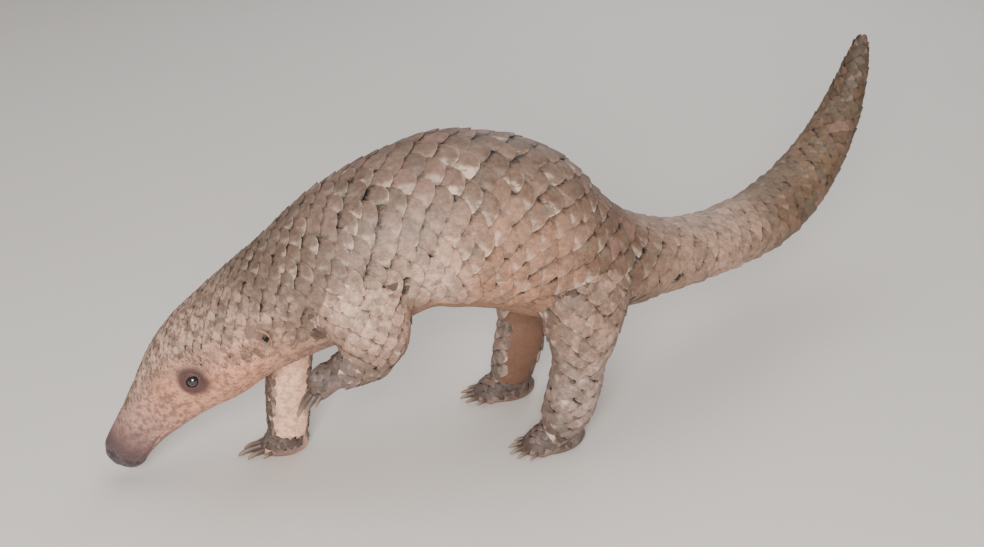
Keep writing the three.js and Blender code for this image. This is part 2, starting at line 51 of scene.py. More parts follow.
# Centre line from the nose to the tip of the tail: place, half width, half height, and the angle
# down each flank, from the crest of the back, that the scales reach.
bodyStations = {
    "noseTip": (-297.5, 37.5, 20.5, 7, 9, 30),
    "nose": (-293, 36, 26.8, 15, 17.4, 32),
    "snout": (-278.5, 33, 48.2, 18, 20, 38),
    "muzzle": (-261.2, 29, 69.6, 24.5, 26.4, 44),
    "eye": (-239.6, 24, 94.6, 33.5, 36, 62),
    "brow": (-222.6, 18, 111.3, 38.5, 41, 86),
    "nape": (-197.4, 10, 133.2, 42, 43, 98),
    "neck": (-159.3, 3, 157, 48.5, 49.5, 107),
    "shoulder": (-114.9, 0, 178.8, 58.5, 60.8, 118),
    "chest": (-72.3, 0, 196.2, 63, 62.4, 122),
    "back": (-36.3, 0, 200, 65, 68.4, 124),
    "loin": (8.7, 0, 190.3, 65.5, 68, 124),
    "hip": (51.2, 0, 165.5, 61.5, 59.5, 128),
    "rump": (91.9, 2, 148.5, 53.5, 43.4, 152),
    "tailRoot": (134.4, 10, 138.5, 45, 31.2, 180),
    "tailA": (183.5, 26, 128.8, 38, 24.2, 180),
    "tailB": (235.6, 50, 122.1, 34.5, 23.2, 180),
    "tailC": (298.9, 85, 120.4, 32.5, 24.6, 180),
    "tailD": (364.6, 125, 138.9, 27.5, 22, 180),
    "tailE": (413.6, 155, 180, 20.4, 17.4, 180),
    "tailF": (437, 170, 224, 12.4, 11, 180),
    "tailTip": (446.4, 178, 248.8, 5.4, 5, 180),
}

# Legs: place, half size fore and aft, half size outwards. The crest of a leg points outwards.
legReach = 116
legs = {
    "front_left": {
        "upper": [(-120, -30, 186, 34, 20), (-117, -45, 165, 37, 22), (-112, -55, 145, 30, 20),
                  (-108, -58, 127, 20, 16), (-107, -58, 116, 9, 8)],
        "lower": [(-103, -57, 128, 11, 10), (-112, -57.5, 124, 17, 14.5),
                  (-126, -55, 119, 16.5, 14), (-140, -53, 114, 14.5, 13)],
        "foot": {"at": (-149, -51.5, 110), "yaw": 180, "pitch": 38, "half": (14, 12.5, 12)},
    },
    "front_right": {
        "upper": [(-114, 28, 180, 30, 20), (-124, 41, 152, 27, 21), (-140, 41, 122, 23, 18.5),
                  (-151, 39, 103, 20.5, 16.5), (-154, 38.5, 94, 10, 8)],
        "lower": [(-150, 39, 108, 12, 10), (-156, 38, 94, 18.5, 15.5), (-160.5, 36, 72, 19, 15.5),
                  (-162.5, 35, 46, 18.5, 15), (-164, 35, 22, 17.5, 14.5), (-165, 35, 12, 13, 11)],
        "foot": {"at": (-167, 35, 8.5), "yaw": 178, "pitch": 0, "half": (19, 16, 13)},
    },
    "hind_left": {
        "upper": [(62, -26, 174, 36, 22), (61, -42, 140, 38, 26), (59, -47, 111, 30.5, 24),
                  (57, -48, 86, 22, 19), (56, -48, 75, 12, 10)],
        "lower": [(57, -48, 96, 13, 11), (56, -48, 82, 21, 18), (54, -47, 65, 22, 18.5),
                  (51.5, -44, 46, 22, 18), (48, -41, 29, 20, 17), (46, -39, 16, 15, 13)],
        "foot": {"at": (42, -37, 9), "yaw": 184, "pitch": 0, "half": (27, 16.5, 14)},
    },
    "hind_right": {
        "upper": [(62, 28, 172, 36, 22), (56, 44, 134, 36, 25), (50, 48, 102, 30, 23),
                  (45, 47, 79, 22, 18), (44, 47, 69, 12, 10)],
        "lower": [(46, 47, 90, 13, 11), (45, 47, 76, 21.5, 17.5), (43, 47, 60, 22, 18),
                  (40, 49, 42, 21, 17), (37, 51, 27, 19, 16), (36, 52, 15, 14, 12)],
        "foot": {"at": (32, 53, 9), "yaw": 176, "pitch": 0, "half": (27, 16.5, 14)},
    },
}

# Digits of a foot from its one side to the other: side and forward steps as shares of the foot's
# half size, toe radius, claw length and claw radius.
digits = {
    "front": [(-0.66, 0.5, 4, 9, 2), (-0.36, 0.78, 4.6, 17, 2.7), (0, 0.86, 5, 23, 3.3),
              (0.36, 0.76, 4.6, 17, 2.7), (0.66, 0.48, 4, 9, 2)],
    "hind": [(-0.72, 0.62, 4.4, 8, 2), (-0.38, 0.82, 4.8, 10.5, 2.4), (0, 0.88, 5, 11.5, 2.6),
             (0.38, 0.82, 4.8, 10.5, 2.4), (0.72, 0.62, 4.4, 8, 2)],
}
eye = {"distance": 111, "angle": 90, "radius": 5.6, "bulge": 2.2}


def unit(vectors):
    return vectors / np.maximum(np.linalg.norm(vectors, axis=-1, keepdims=True), 1e-12)


def smooth(start, stop, x):
    # 3 t squared - 2 t cubed, with t the share of the way from start to stop
    t = np.clip((x - start) / (stop - start), 0, 1)
    return t * t * (3 - 2 * t)


def bell(x, width):
    # e to the power of minus (x / width) squared
    return np.exp(-(x / width) ** 2)


def fullTurn(count):
    # Angles round a whole section, as one row
    return np.linspace(0, 2 * math.pi, count, endpoint=False)[None, :]


def spline(points, t):
    # Between two points a cubic, whose end slopes come from the neighbours, with knots spaced by
    # the square root of the distance between points.
    last = len(points) - 1
    position = np.clip(t * last, 0, last - 1e-9)
    k = position.astype(int)
    w = (position - k)[:, None]
    padded = np.vstack([2 * points[0] - points[1], points, 2 * points[-1] - points[-2]])
    knots = np.linalg.norm(np.diff(padded, axis=0), axis=1) ** 0.5
    p0, p1, p2, p3 = (padded[k + n] for n in range(4))
    d0, d1, d2 = (knots[k + n][:, None] for n in range(3))
    slope1 = ((p1 - p0) / d0 - (p2 - p0) / (d0 + d1) + (p2 - p1) / d1) * d1
    slope2 = ((p2 - p1) / d1 - (p3 - p1) / (d1 + d2) + (p3 - p2) / d2) * d1
    square = 3 * (p2 - p1) - 2 * slope1 - slope2
    cube = 2 * (p1 - p2) + slope1 + slope2
    return ((cube * w + square) * w + slope1) * w + p1


class FleshLine:
    # A smooth curve through stations, with an elliptic section at every distance along it.
    def __init__(self, stations, crest):
        rows = np.array(stations, float)
        t = np.linspace(0, 1, 1201)
        self.path = spline(rows[:, :3], t)
        girth = spline(rows[:, 3:], t)
        if girth.shape[1] == 2:
            girth = np.column_stack([girth, np.full(len(girth), legReach)])
        self.girth = girth
        steps = np.linalg.norm(np.diff(self.path, axis=0), axis=1)
        self.distances = np.concatenate([[0], np.cumsum(steps)])
        self.length = self.distances[-1]
        self.along = unit(np.gradient(self.path, self.distances, axis=0))
        self.side = unit(np.cross(self.along, crest))
        self.up = np.cross(self.side, self.along)

    def read(self, table, distance):
        return np.stack([np.interp(distance, self.distances, column) for column in table.T], -1)

    # centre + side * (halfWidth + lift) * sin(angle) + up * (halfHeight + lift) * cos(angle)
    def point(self, distance, angle, lift=0.0):
        distance, angle, lift = np.broadcast_arrays(np.asarray(distance, float), angle, lift)
        beyond = distance - np.clip(distance, 0, self.length)
        girth = self.read(self.girth, distance)
        centre = self.read(self.path, distance)
        centre = centre + self.read(self.along, distance) * beyond[..., None]
        across = (girth[..., 0] + lift) * np.sin(angle)
        rise = (girth[..., 1] + lift) * np.cos(angle)
        side = self.read(self.side, distance) * across[..., None]
        return centre + side + self.read(self.up, distance) * rise[..., None]

    # Distance, angle and height over the flesh of points: nearest sample of the line, then the
    # step along it to the plane that holds the point.
    def locate(self, points):
        picked = np.arange(0, len(self.path), 4)
        centres = self.path[picked]
        squares = (centres ** 2).sum(1)
        parts = np.array_split(points, 1 + len(points) // 8000)
        nearest = [np.argmin(squares - 2 * part @ centres.T, axis=1) for part in parts]
        nearest = np.concatenate(nearest)
        k = picked[nearest]
        distance = self.distances[k] + ((points - self.path[k]) * self.along[k]).sum(1)
        within = np.clip(distance, 0, self.length)
        offset = points - self.read(self.path, within)
        girth = self.read(self.girth, within)
        across = (offset * self.read(self.side, within)).sum(1) / girth[:, 0]
        rise = (offset * self.read(self.up, within)).sum(1) / girth[:, 1]
        angle = np.arctan2(across, rise)
        size = np.hypot(girth[:, 0] * np.sin(angle), girth[:, 1] * np.cos(angle))
        return distance, angle, (np.hypot(across, rise) - 1) * size

    # Millimetres round the section for each radian of angle.
    def speed(self, distance, angle):
        girth = self.read(self.girth, distance)
        return np.hypot(girth[..., 0] * np.cos(angle), girth[..., 1] * np.sin(angle))

    # The angle down each flank, in radians, that the scales reach.
    def reach(self, distance):
        return np.radians(self.read(self.girth, distance)[..., 2])


body = FleshLine(list(bodyStations.values()), (0, 0, 1))
legLines = {}
for name, leg in legs.items():
    outwards = (0, -1 if name.endswith("left") else 1, 0)
    for part in ("upper", "lower"):
        legLines[f"{name}_{part}"] = FleshLine(leg[part], outwards)

# Short lines over the tops of the feet, from ankle to toes, carry the scales there. Their stations
# are shares of the foot's half length.
footLook = {"stations": (-0.78, -0.4, 0.0, 0.4, 0.8, 1.05), "reach": 82, "toeDrop": 0.25,
            "leastSize": 0.25}


def footTurn(foot):
    # Turn about Z by the yaw after a turn about Y by the pitch.
    c, s = math.cos(math.radians(foot["yaw"])), math.sin(math.radians(foot["yaw"]))
    aboutZ = np.array([[c, -s, 0], [s, c, 0], [0, 0, 1]])
    c, s = math.cos(math.radians(foot["pitch"])), math.sin(math.radians(foot["pitch"]))
    aboutY = np.array([[c, 0, s], [0, 1, 0], [-s, 0, c]])
    return aboutZ @ aboutY


def footLine(foot):
    # The half sizes shrink as the square root of 1 - share to the fourth.
    length, width, height = foot["half"]
    turn = footTurn(foot)
    share = np.array(footLook["stations"])
    size = np.sqrt(np.clip(1 - share ** 4, footLook["leastSize"], 1))
    drop = footLook["toeDrop"] * height * np.clip(share, 0, 1)
    at = np.column_stack([share * length, np.zeros(len(share)), -drop]) @ turn.T + foot["at"]
    reach = np.full(len(share), footLook["reach"])
    rows = np.column_stack([at, size * width, size * height, reach])
    return FleshLine(rows, turn @ np.array([0, 0, 1.0]))


footLines = {f"{name}_foot": footLine(leg["foot"]) for name, leg in legs.items()}
limbLines = {**legLines, **footLines}


def spot(feature, sign):
    # The place of the eye or ear of one side on the head, with the outward direction there.
    surface = body.point(feature["distance"], math.radians(sign * feature["angle"]))
    return surface, unit(surface - body.read(body.path, feature["distance"]))


def fromSpot(feature, distance, angle, sizes=(1, 1)):
    # Millimetres over the surface from the eye or ear of that side, as shares of two sizes.
    along = distance - feature["distance"]
    around = (np.abs(angle) - math.radians(feature["angle"])) * body.speed(distance, angle)
    return np.hypot(along / sizes[0], around / sizes[1])


def eyeCentre(sign):
    surface, outward = spot(eye, sign)
    return surface + outward * (eye["bulge"] - eye["radius"])


lowCorner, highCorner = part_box("eye_left")
shift = np.array((lowCorner + highCorner) / 2) - eyeCentre(1) * mm


def place(points):
    return np.asarray(points) * mm + shift


def unplace(points):
    return (np.asarray(points) - shift) / mm


# Mesh helpers: a grid has rows along a shape and columns round it.
def gridFaces(rows, columns, wrap=True):
    across = columns if wrap else columns - 1
    i, j = np.meshgrid(np.arange(rows - 1), np.arange(across), indexing="ij")
    a = i * columns + j
    b = i * columns + (j + 1) % columns
    return np.stack([a, b, b + columns, a + columns], -1).reshape(-1, 4)


def closedTube(grid):
    # The first and last rows are closed by a fan to their mean point.
    rows, columns = grid.shape[:2]
    points = np.vstack([grid.reshape(-1, 3), grid[0].mean(0), grid[-1].mean(0)])
    j = np.arange(columns)
    following = (j + 1) % columns
    first = np.stack([np.full(columns, rows * columns), following, j], -1)
    final = (rows - 1) * columns
    last = np.stack([np.full(columns, rows * columns + 1), final + j, final + following], -1)
    return points, [gridFaces(rows, columns), np.vstack([first, last])]


def joined(shapes):
    # Several closed shapes as one list of points and faces.
    start = 0
    allPoints = []
    allFaces = []
    for points, groups in shapes:
        allPoints.append(points)
        allFaces += [group + start for group in groups]
        start += len(points)
    return np.vstack(allPoints), allFaces


def addAttributes(mesh, values, colours):
    for name, numbers in values.items():
        attribute = mesh.attributes.new(name, "FLOAT", "POINT")
        attribute.data.foreach_set("value", np.asarray(numbers, np.float32))
    for name, numbers in colours.items():
        attribute = mesh.attributes.new(name, "FLOAT_COLOR", "POINT")
        filled = np.column_stack([numbers, np.ones(len(numbers))])
        attribute.data.foreach_set("color", filled.astype(np.float32).ravel())


def linked(name, mesh):
    item = bpy.data.objects.new(name, mesh)
    bpy.context.scene.collection.objects.link(item)
    return item


def makeMesh(name, points, faceGroups, maps=None, values=None, colours=None, sharp=None):
    mesh = bpy.data.meshes.new(name)
    mesh.vertices.add(len(points))
    mesh.vertices.foreach_set("co", np.asarray(points, np.float32).ravel())
    if faceGroups:
        corners = np.concatenate([group.ravel() for group in faceGroups])
        sizes = np.concatenate([np.full(len(group), group.shape[1]) for group in faceGroups])
        mesh.loops.add(len(corners))
        mesh.loops.foreach_set("vertex_index", corners.astype(np.int32))
        mesh.polygons.add(len(sizes))
        mesh.polygons.foreach_set("loop_start", (np.cumsum(sizes) - sizes).astype(np.int32))
        mesh.update(calc_edges=True)
        mesh.polygons.foreach_set("use_smooth", np.ones(len(sizes), bool))
        for mapName, coordinates in (maps or {}).items():
            layer = mesh.uv_layers.new(name=mapName)
            layer.uv.foreach_set("vector", coordinates[corners].astype(np.float32).ravel())
    addAttributes(mesh, values or {}, colours or {})
    if sharp:
        mesh.set_sharp_from_angle(angle=math.radians(sharp))
    return linked(name, mesh)


def settle(item, material, slotName, *nodes):
    item.data.materials.clear()
    item.data.materials.append(material)
    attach(item, "root")
    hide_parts(*nodes)


def evaluated(item):
    graph = bpy.context.evaluated_depsgraph_get()
    return bpy.data.meshes.new_from_object(item.evaluated_get(graph))


def vertexPlaces(mesh):
    flat = np.zeros(len(mesh.vertices) * 3)
    mesh.vertices.foreach_get("co", flat)
    return flat.reshape(-1, 3)


# Colours, as red, green and blue out of 255.
palette = {
    "noseRim": (94, 75, 77),
    "snout": (188, 146, 132),
    "face": (216, 155, 126),
    "throat": (180, 143, 122),
    "eyeRing": (56, 40, 50),
    "crown": (210, 173, 152),
    "neck": (127, 105, 89),
    "shoulder": (130, 106, 92),
    "back": (127, 101, 85),
    "flank": (228, 188, 165),
    "lowFlank": (191, 142, 114),
    "hip": (116, 86, 69),
    "rump": (158, 126, 106),
    "tail": (124, 97, 74),
    "tailRoot": (188, 152, 129),
    "tailTip": (80, 65, 52),
    "belly": (156, 116, 92),
    "upperArm": (200, 160, 138),
    "foreleg": (132, 107, 94),
    "hindleg": (178, 150, 138),
    "innerLeg": (255, 204, 172),
    "thigh": (122, 90, 70),
    "foot": (112, 97, 91),
    "sole": (142, 116, 106),
    # painted shade: a dark colour laid on the skin under the scales and round the ear
    "paintedShade": (70, 56, 50),
}


def linear(colour):
    # Stored colour to light: ((c + 0.055) / 1.055) to the power 2.4
    share = np.array(colour, float) / 255
    return ((share + 0.055) / 1.055) ** 2.4


paint = {name: linear(colour) for name, colour in palette.items()}


def blendColours(first, second, share):
    share = np.asarray(share)[..., None]
    return first * (1 - share) + second * share


def toneAlong(distance, stops):
    table = np.array([[at, *paint[name]] for at, name in stops])
    return np.stack([np.interp(distance, table[:, 0], table[:, k]) for k in (1, 2, 3)], -1)


# Colours along the body, as millimetres from the nose and a colour: the crest of the back, the
# lowest scales of the flank, and bare skin. Legs have an upper, a lower and an inner colour.
noseTones = [(0, "noseRim"), (16, "noseRim"), (40, "snout")]
tailTones = [(570, "tailRoot"), (620, "tailRoot"), (690, "tail"), (800, "tail"), (931, "tailTip")]
markings = {
    "crest": [*noseTones, (64, "crown"), (120, "crown"), (190, "neck"), (250, "shoulder"),
              (340, "back"), (425, "back"), (466, "hip"), (505, "rump"), *tailTones],
    "flank": [*noseTones, (80, "crown"), (160, "crown"), (215, "shoulder"), (300, "flank"),
              (345, "lowFlank"), (400, "lowFlank"), (445, "hip"), (500, "rump"), *tailTones],
    "bare": [*noseTones[:2], (42, "snout"), (90, "face"), (150, "face"), (200, "throat"),
             (260, "belly"), (500, "belly"), (600, "tail"), (931, "tailTip")],
    "front": ("upperArm", "foreleg", "innerLeg"),
    "hind": ("rump", "hindleg", "thigh"),
    "legStages": {"upper": (0, 0.5), "lower": (0.5, 0.5), "foot": (1, 0)},
    "flankBand": (0.25, 0.88),
    "cheekBand": (0.5, 1.0),
    "cheekBare": 0.75,
    "eyeRing": 0.9,
    "eyeRingRadius": (9.0, 17.0),
    # painted highlight along the legs' outermost line, and painted shade down their sides
    "legPaintedHighlight": 1.2,
    "legPaintedShade": 0.5,
}


def bodyMarking(distance, angle, bare):
    # Crest colour to flank colour down the side, then the bare colour where no scales grow. The
    # sides of the head have some of the bare colour, and a dark ring lies round each eye.
    share = np.abs(angle) / body.reach(distance)
    crest = toneAlong(distance, markings["crest"])
    flank = toneAlong(distance, markings["flank"])
    tone = blendColours(crest, flank, smooth(*markings["flankBand"], share))
    bareTone = toneAlong(distance, markings["bare"])
    onCheek = (1 - smooth(170, 230, distance)) * smooth(40, 80, distance)
    fade = markings["cheekBare"] * smooth(*markings["cheekBand"], share) * onCheek
    tone = blendColours(blendColours(tone, bareTone, fade), bareTone, bare)
    ring = 1 - smooth(*markings["eyeRingRadius"], fromSpot(eye, distance, angle))
    return blendColours(tone, paint["eyeRing"], markings["eyeRing"] * ring)


def legMarking(name, distance, angle, bare):
    # The leg's outer colour from its top to the foot, with a painted highlight along the outermost
    # line and painted shade to both sides, and its pale or brown inner side.
    top, low, inner = markings["front" if name.startswith("front") else "hind"]
    start, gain = markings["legStages"][name.split("_")[-1]]
    stage = start + gain * distance / limbLines[name].length
    outer = blendColours(paint[top], paint[low], smooth(0.2, 0.6, stage))
    outer = blendColours(outer, paint["foot"], smooth(0.72, 1.0, stage))
    # painted highlight along the leg's outermost line, painted shade down its sides
    sides = markings["legPaintedShade"] * smooth(0.25, 1.3, np.abs(angle))
    outer = outer * (markings["legPaintedHighlight"] - sides)[..., None]
    return blendColours(outer, paint["sole" if name in footLines else inner], bare)


# The unwrap of the skin: the body fills the upper part, and each limb line has a field below it.
unwrap = {"bodyLow": 0.4, "bodyHigh": 0.99, "legHigh": 0.38, "edge": 0.01, "toeRoom": 12}
limbFields = {name: k for k, name in enumerate(limbLines)}


def unwrapAt(name, distance, angle):
    # First share: distance along the line. Second share: angle round it.
    turn = angle / (2 * math.pi) + 0.5
    edge = unwrap["edge"]
    if name == "body":
        along = edge + (1 - 2 * edge) * np.clip((distance + 4) / (body.length + 8), 0, 1)
        low, high = unwrap["bodyLow"], unwrap["bodyHigh"]
        return np.stack([along, low + (high - low) * turn], -1)
    width = 1 / len(limbFields)
    room = limbLines[name].length + unwrap["toeRoom"]
    along = width * (limbFields[name] + 0.05 + 0.9 * np.clip(distance / room, 0, 1))
    return np.stack([along, edge + (unwrap["legHigh"] - edge) * turn], -1)


# The skin: closed lines of flesh fused by a voxel remesh, then refined and worked on the head.
skinLook = {
    "voxel": 2.8,
    "smoothing": 7,
    "bodyGrid": (420, 96),
    "legGrid": (50, 48),
    "ballGrid": (16, 24),
    "depth": 1.0,
    "legDepth": 0.8,
    "headDepth": 0.5,
    "headEnd": 196,
    "padDepth": 1.6,
    "fineRadius": 20,
    "soleLevel": 0.35,
}


def fleshTube(line, grid, depth):
    # The flesh lies at full depth under the scales, and comes up to the surface where it is bare.
    distance = np.linspace(0, line.length, grid[0])[:, None]
    angle = fullTurn(grid[1])
    pastScales = np.minimum(angle, 2 * math.pi - angle) - line.reach(distance)
    under = 1 - smooth(0, math.radians(20), pastScales)
    return closedTube(line.point(distance, angle, -depth * under))


def ellipsoid(radii, centre, turn, origin):
    # Rows run from pole to pole: x = -cos(a), and the radius is sin(a).
    rows, columns = skinLook["ballGrid"]
    a = np.linspace(0.12, math.pi - 0.12, rows)[:, None]
    b = fullTurn(columns)
    x = np.broadcast_to(-np.cos(a), (rows, columns))
    grid = np.stack([x, -np.sin(a) * np.sin(b), np.sin(a) * np.cos(b)], -1) * np.array(radii)
    return closedTube((grid + np.array(centre)) @ turn.T + np.array(origin))


def footShapes(legName):
    # An ellipsoid for the foot and a smaller one for each toe.
    foot = legs[legName]["foot"]
    length, width, height = foot["half"]
    turn = footTurn(foot)
    shapes = [ellipsoid(foot["half"], (0, 0, 0), turn, foot["at"])]
    for side, forward, toe, *_ in digits[legName.split("_")[0]]:
        knuckle = (length * forward, width * side, -height * 0.35)
        shapes.append(ellipsoid((toe * 1.7, toe, toe), knuckle, turn, foot["at"]))
    return shapes


shapes = [fleshTube(body, skinLook["bodyGrid"], skinLook["depth"])]
shapes += [fleshTube(line, skinLook["legGrid"], skinLook["legDepth"]) for line in legLines.values()]
for legName in legs:
    shapes += footShapes(legName)
rawPoints, rawFaces = joined(shapes)
rawSkin = makeMesh("rawSkin", place(rawPoints), rawFaces)
remesh = rawSkin.modifiers.new("Remesh", "REMESH")
remesh.mode = "VOXEL"
remesh.voxel_size = skinLook["voxel"] * mm
relax = rawSkin.modifiers.new("Smooth", "SMOOTH")
relax.factor = 0.5
relax.iterations = skinLook["smoothing"]
skinMesh = evaluated(rawSkin)
skinMesh.name = "pangolin_skin"
bpy.data.objects.remove(rawSkin)
print("flesh fused:", len(skinMesh.polygons), "faces")

# Head forms, in millimetres: where along the head, degrees from the crest, size along and round,
# and height.
headForms = {
    "brow": (104, 66, 17, 9, 1.5),
    "cheek": (136, 112, 30, 20, 2.2),
    "cheekHollow": (84, 104, 20, 11, -1.6),
    "muzzleSide": (30, 92, 20, 10, 0.9),
    "bridge": (60, 0, 30, 9, 0.8),
    "chin": (17, 180, 9, 12, -1.4),
    "earBase": (168, 90, 10, 12, 1.0),
}
mouth = {"from": 9, "to": 52, "angle": 128, "wave": 0.1, "depth": 1.9, "width": 0.95, "lip": 0.8,
         "lipWidth": 2.3, "corner": 0.7}
ear = {"distance": 174, "angle": 89, "height": 6.5, "width": 3.4, "fold": 1.3, "cup": 1.9,
       "cupShare": 0.75}
socket = {"inner": 4.9, "outer": 8.6, "depth": 4.6}
eyeFolds = {"radius": 12, "spread": 6.5, "pitch": 2.3, "depth": 0.28}
folds = {
    "throat": {"angles": (118, 150), "fade": (100, 140), "pitch": 6.5, "depth": 0.42},
    "muzzle": {"angles": (50, 80), "fade": (80, 50), "pitch": 2.9, "depth": 0.14},
}


def fromMouth(distance, angle):
    # Millimetres from the lip line, which waves a little on its way back.
    line = math.radians(mouth["angle"]) + mouth["wave"] * np.sin((distance - mouth["from"]) * 0.11)
    return (np.abs(angle) - line) * body.speed(distance, angle)


def headRelief(distance, angle):
    # The sum of bell-shaped forms, the groove and lips of the mouth, the eye sockets, the skin folds,
    # which are sines along the head or out from the eye, and the cups of the ears.
    across = np.abs(angle)
    relief = np.zeros_like(distance)
    for at, degrees, sizeAlong, sizeRound, height in headForms.values():
        around = (across - math.radians(degrees)) * body.speed(distance, angle)
        relief += height * bell(distance - at, sizeAlong) * bell(around, sizeRound)
    fromLine = fromMouth(distance, angle)
    lipShare = smooth(mouth["from"] - 3, mouth["from"] + 3, distance)
    lipShare = lipShare * (1 - smooth(mouth["to"] - 5, mouth["to"] + 1, distance))
    relief -= lipShare * mouth["depth"] * bell(fromLine, mouth["width"])
    lips = bell(fromLine - mouth["lipWidth"], mouth["lipWidth"] * 0.8)
    lips = lips + bell(fromLine + mouth["lipWidth"], mouth["lipWidth"] * 0.8)
    relief += lipShare * mouth["lip"] * lips
    corner = np.hypot(distance - mouth["to"], fromLine)
    relief += mouth["corner"] * bell(corner - 4, 1.6) * (distance > mouth["to"] - 1)
    fromEye = fromSpot(eye, distance, angle)
    relief -= socket["depth"] * (1 - smooth(socket["inner"], socket["outer"], fromEye))
    ringFade = bell(fromEye - eyeFolds["radius"], eyeFolds["spread"])
    relief += eyeFolds["depth"] * ringFade * np.sin(2 * math.pi * fromEye / eyeFolds["pitch"])
    wave = distance + 3 * np.sin(angle * 5 + distance * 0.07)
    for fold in folds.values():
        share = smooth(*np.radians(fold["angles"]), across) * smooth(*fold["fade"], distance)
        relief += fold["depth"] * share * np.sin(2 * math.pi * wave / fold["pitch"])
    fromEar = fromSpot(ear, distance, angle, (ear["width"], ear["height"]))
    return relief - ear["cup"] * bell(fromEar, ear["cupShare"])


def headDepth(distance, angle):
    # The skin lies under the scales of the crown, and well under the nose pad at the front.
    under = 1 - smooth(0, 0.12, np.abs(angle) - body.reach(distance))
    depth = skinLook["headDepth"] * under * smooth(30, 44, distance)
    return depth + skinLook["padDepth"] * (1 - smooth(6.5, 9.5, distance))


def refineHead(mesh):
    # Two rounds of subdivision: the whole head, then round the eyes, mouth, ears and nose.
    work = bmesh.new()
    work.from_mesh(mesh)
    for closer in (False, True):
        work.verts.ensure_lookup_table()
        distance, angle, lift = body.locate(unplace(np.array([vertex.co for vertex in work.verts])))
        near = (distance < skinLook["headEnd"]) & (np.abs(lift) < 6)
        if closer:
            fromLine = (np.abs(angle) - math.radians(mouth["angle"])) * body.speed(distance, angle)
            fine = fromSpot(eye, distance, angle) < skinLook["fineRadius"]
            fine |= (distance < mouth["to"] + 8) & (np.abs(fromLine) < 8)
            fine |= distance < 18
            fine |= fromSpot(ear, distance, angle) < 12
            near &= fine
        chosen = [edge for edge in work.edges if all(near[end.index] for end in edge.verts)]
        bmesh.ops.subdivide_edges(work, edges=chosen, cuts=1, use_grid_fill=True)
    bmesh.ops.triangulate(work, faces=[face for face in work.faces if len(face.verts) > 4])
    work.to_mesh(mesh)
    work.free()


refineHead(skinMesh)
places = unplace(vertexPlaces(skinMesh))
located = {name: line.locate(places) for name, line in {"body": body, **limbLines}.items()}
names = list(located)
heights = np.stack([np.abs(located[name][2]) for name in names])
owner = np.argmin(heights, axis=0)

distance, angle, lift = located["body"]
target = body.point(distance, angle, headRelief(distance, angle) - headDepth(distance, angle))
beforeEnd = 1 - smooth(skinLook["headEnd"] - 12, skinLook["headEnd"], distance)
onHead = (1 - smooth(1.6, 3.4, np.abs(lift))) * beforeEnd * (distance > 1)
places = places * (1 - onHead[:, None]) + target * onHead[:, None]
places[:, 2] = np.maximum(places[:, 2], skinLook["soleLevel"])

# Colour of the skin, and how mottled it is, with painted shade under the scales and round the ear.
# Each limb's colour takes over where the skin lies nearer to its line than to the others.
skinShadesAndMottling = {"ear": 0.3, "shadeUnderHead": 0.25, "shadeUnderTail": 0.5, "shadeUnderLeg": 0.6, "legMottling": 0.4}
bodyBare = smooth(-0.06, 0.1, np.abs(angle) - body.reach(distance))
underScales = (1 - bodyBare) * smooth(30, 60, distance)
tone = bodyMarking(distance, angle, bodyBare)
# painted shade round the ear and under the scales
nearEar = 1 - smooth(4, 9, fromSpot(ear, distance, angle))
tone = blendColours(tone, paint["paintedShade"], skinShadesAndMottling["ear"] * nearEar)
shadeUnderScales = skinShadesAndMottling["shadeUnderHead"] + skinShadesAndMottling["shadeUnderTail"] * smooth(120, 220, distance)
tone = blendColours(tone, paint["paintedShade"], shadeUnderScales * underScales)
nearest = heights[0]
for k, name in enumerate(limbLines, 1):
    legDistance, legAngle, _ = located[name]
    legBare = math.radians(footLook["reach"] if name in footLines else legReach)
    bare = smooth(legBare - 0.12, legBare + 0.1, np.abs(legAngle))
    legTone = legMarking(name, legDistance, legAngle, bare)
    # painted shade on the leg's skin under its scales
    legTone = blendColours(legTone, paint["paintedShade"], skinShadesAndMottling["shadeUnderLeg"] * (1 - bare))
    tone = blendColours(tone, legTone, smooth(-3, 3, nearest - heights[k]))
    nearest = np.minimum(nearest, heights[k])
bodyMottling = bodyBare * (1 - 0.5 * smooth(190, 230, distance))
mottling = np.where(owner == 0, bodyMottling, skinShadesAndMottling["legMottling"])
skinMesh.vertices.foreach_set("co", place(places).astype(np.float32).ravel())
addAttributes(skinMesh, {"mottling": mottling}, {"marking": tone})

# The skin's unwrap, face by face, so that no face spans the line where the angle starts again.
loopVertex = np.zeros(len(skinMesh.loops), np.int32)
skinMesh.loops.foreach_get("vertex_index", loopVertex)
faceSizes = np.zeros(len(skinMesh.polygons), np.int32)
skinMesh.polygons.foreach_get("loop_total", faceSizes)
firstVertex = np.repeat(loopVertex[np.cumsum(faceSizes) - faceSizes], faceSizes)
bakeMap = np.zeros((len(loopVertex), 2))
for k, name in enumerate(names):
    mine = owner[firstVertex] == k
    distance, angle, _ = located[name]
    anchor = angle[firstVertex]
    turned = (angle[loopVertex] - anchor + math.pi) % (2 * math.pi) - math.pi + anchor
    turned = np.clip(turned, -math.pi * 1.02, math.pi * 1.02)
    bakeMap[mine] = unwrapAt(name, distance[loopVertex][mine], turned[mine])
skinMesh.uv_layers.new(name="OFBake").uv.foreach_set("vector", bakeMap.astype(np.float32).ravel())
skinMesh.polygons.foreach_set("use_smooth", np.ones(len(faceSizes), bool))
skinMesh.update()
skin = linked("pangolin_skin", skinMesh)
print("skin made:", len(skinMesh.polygons), "faces")

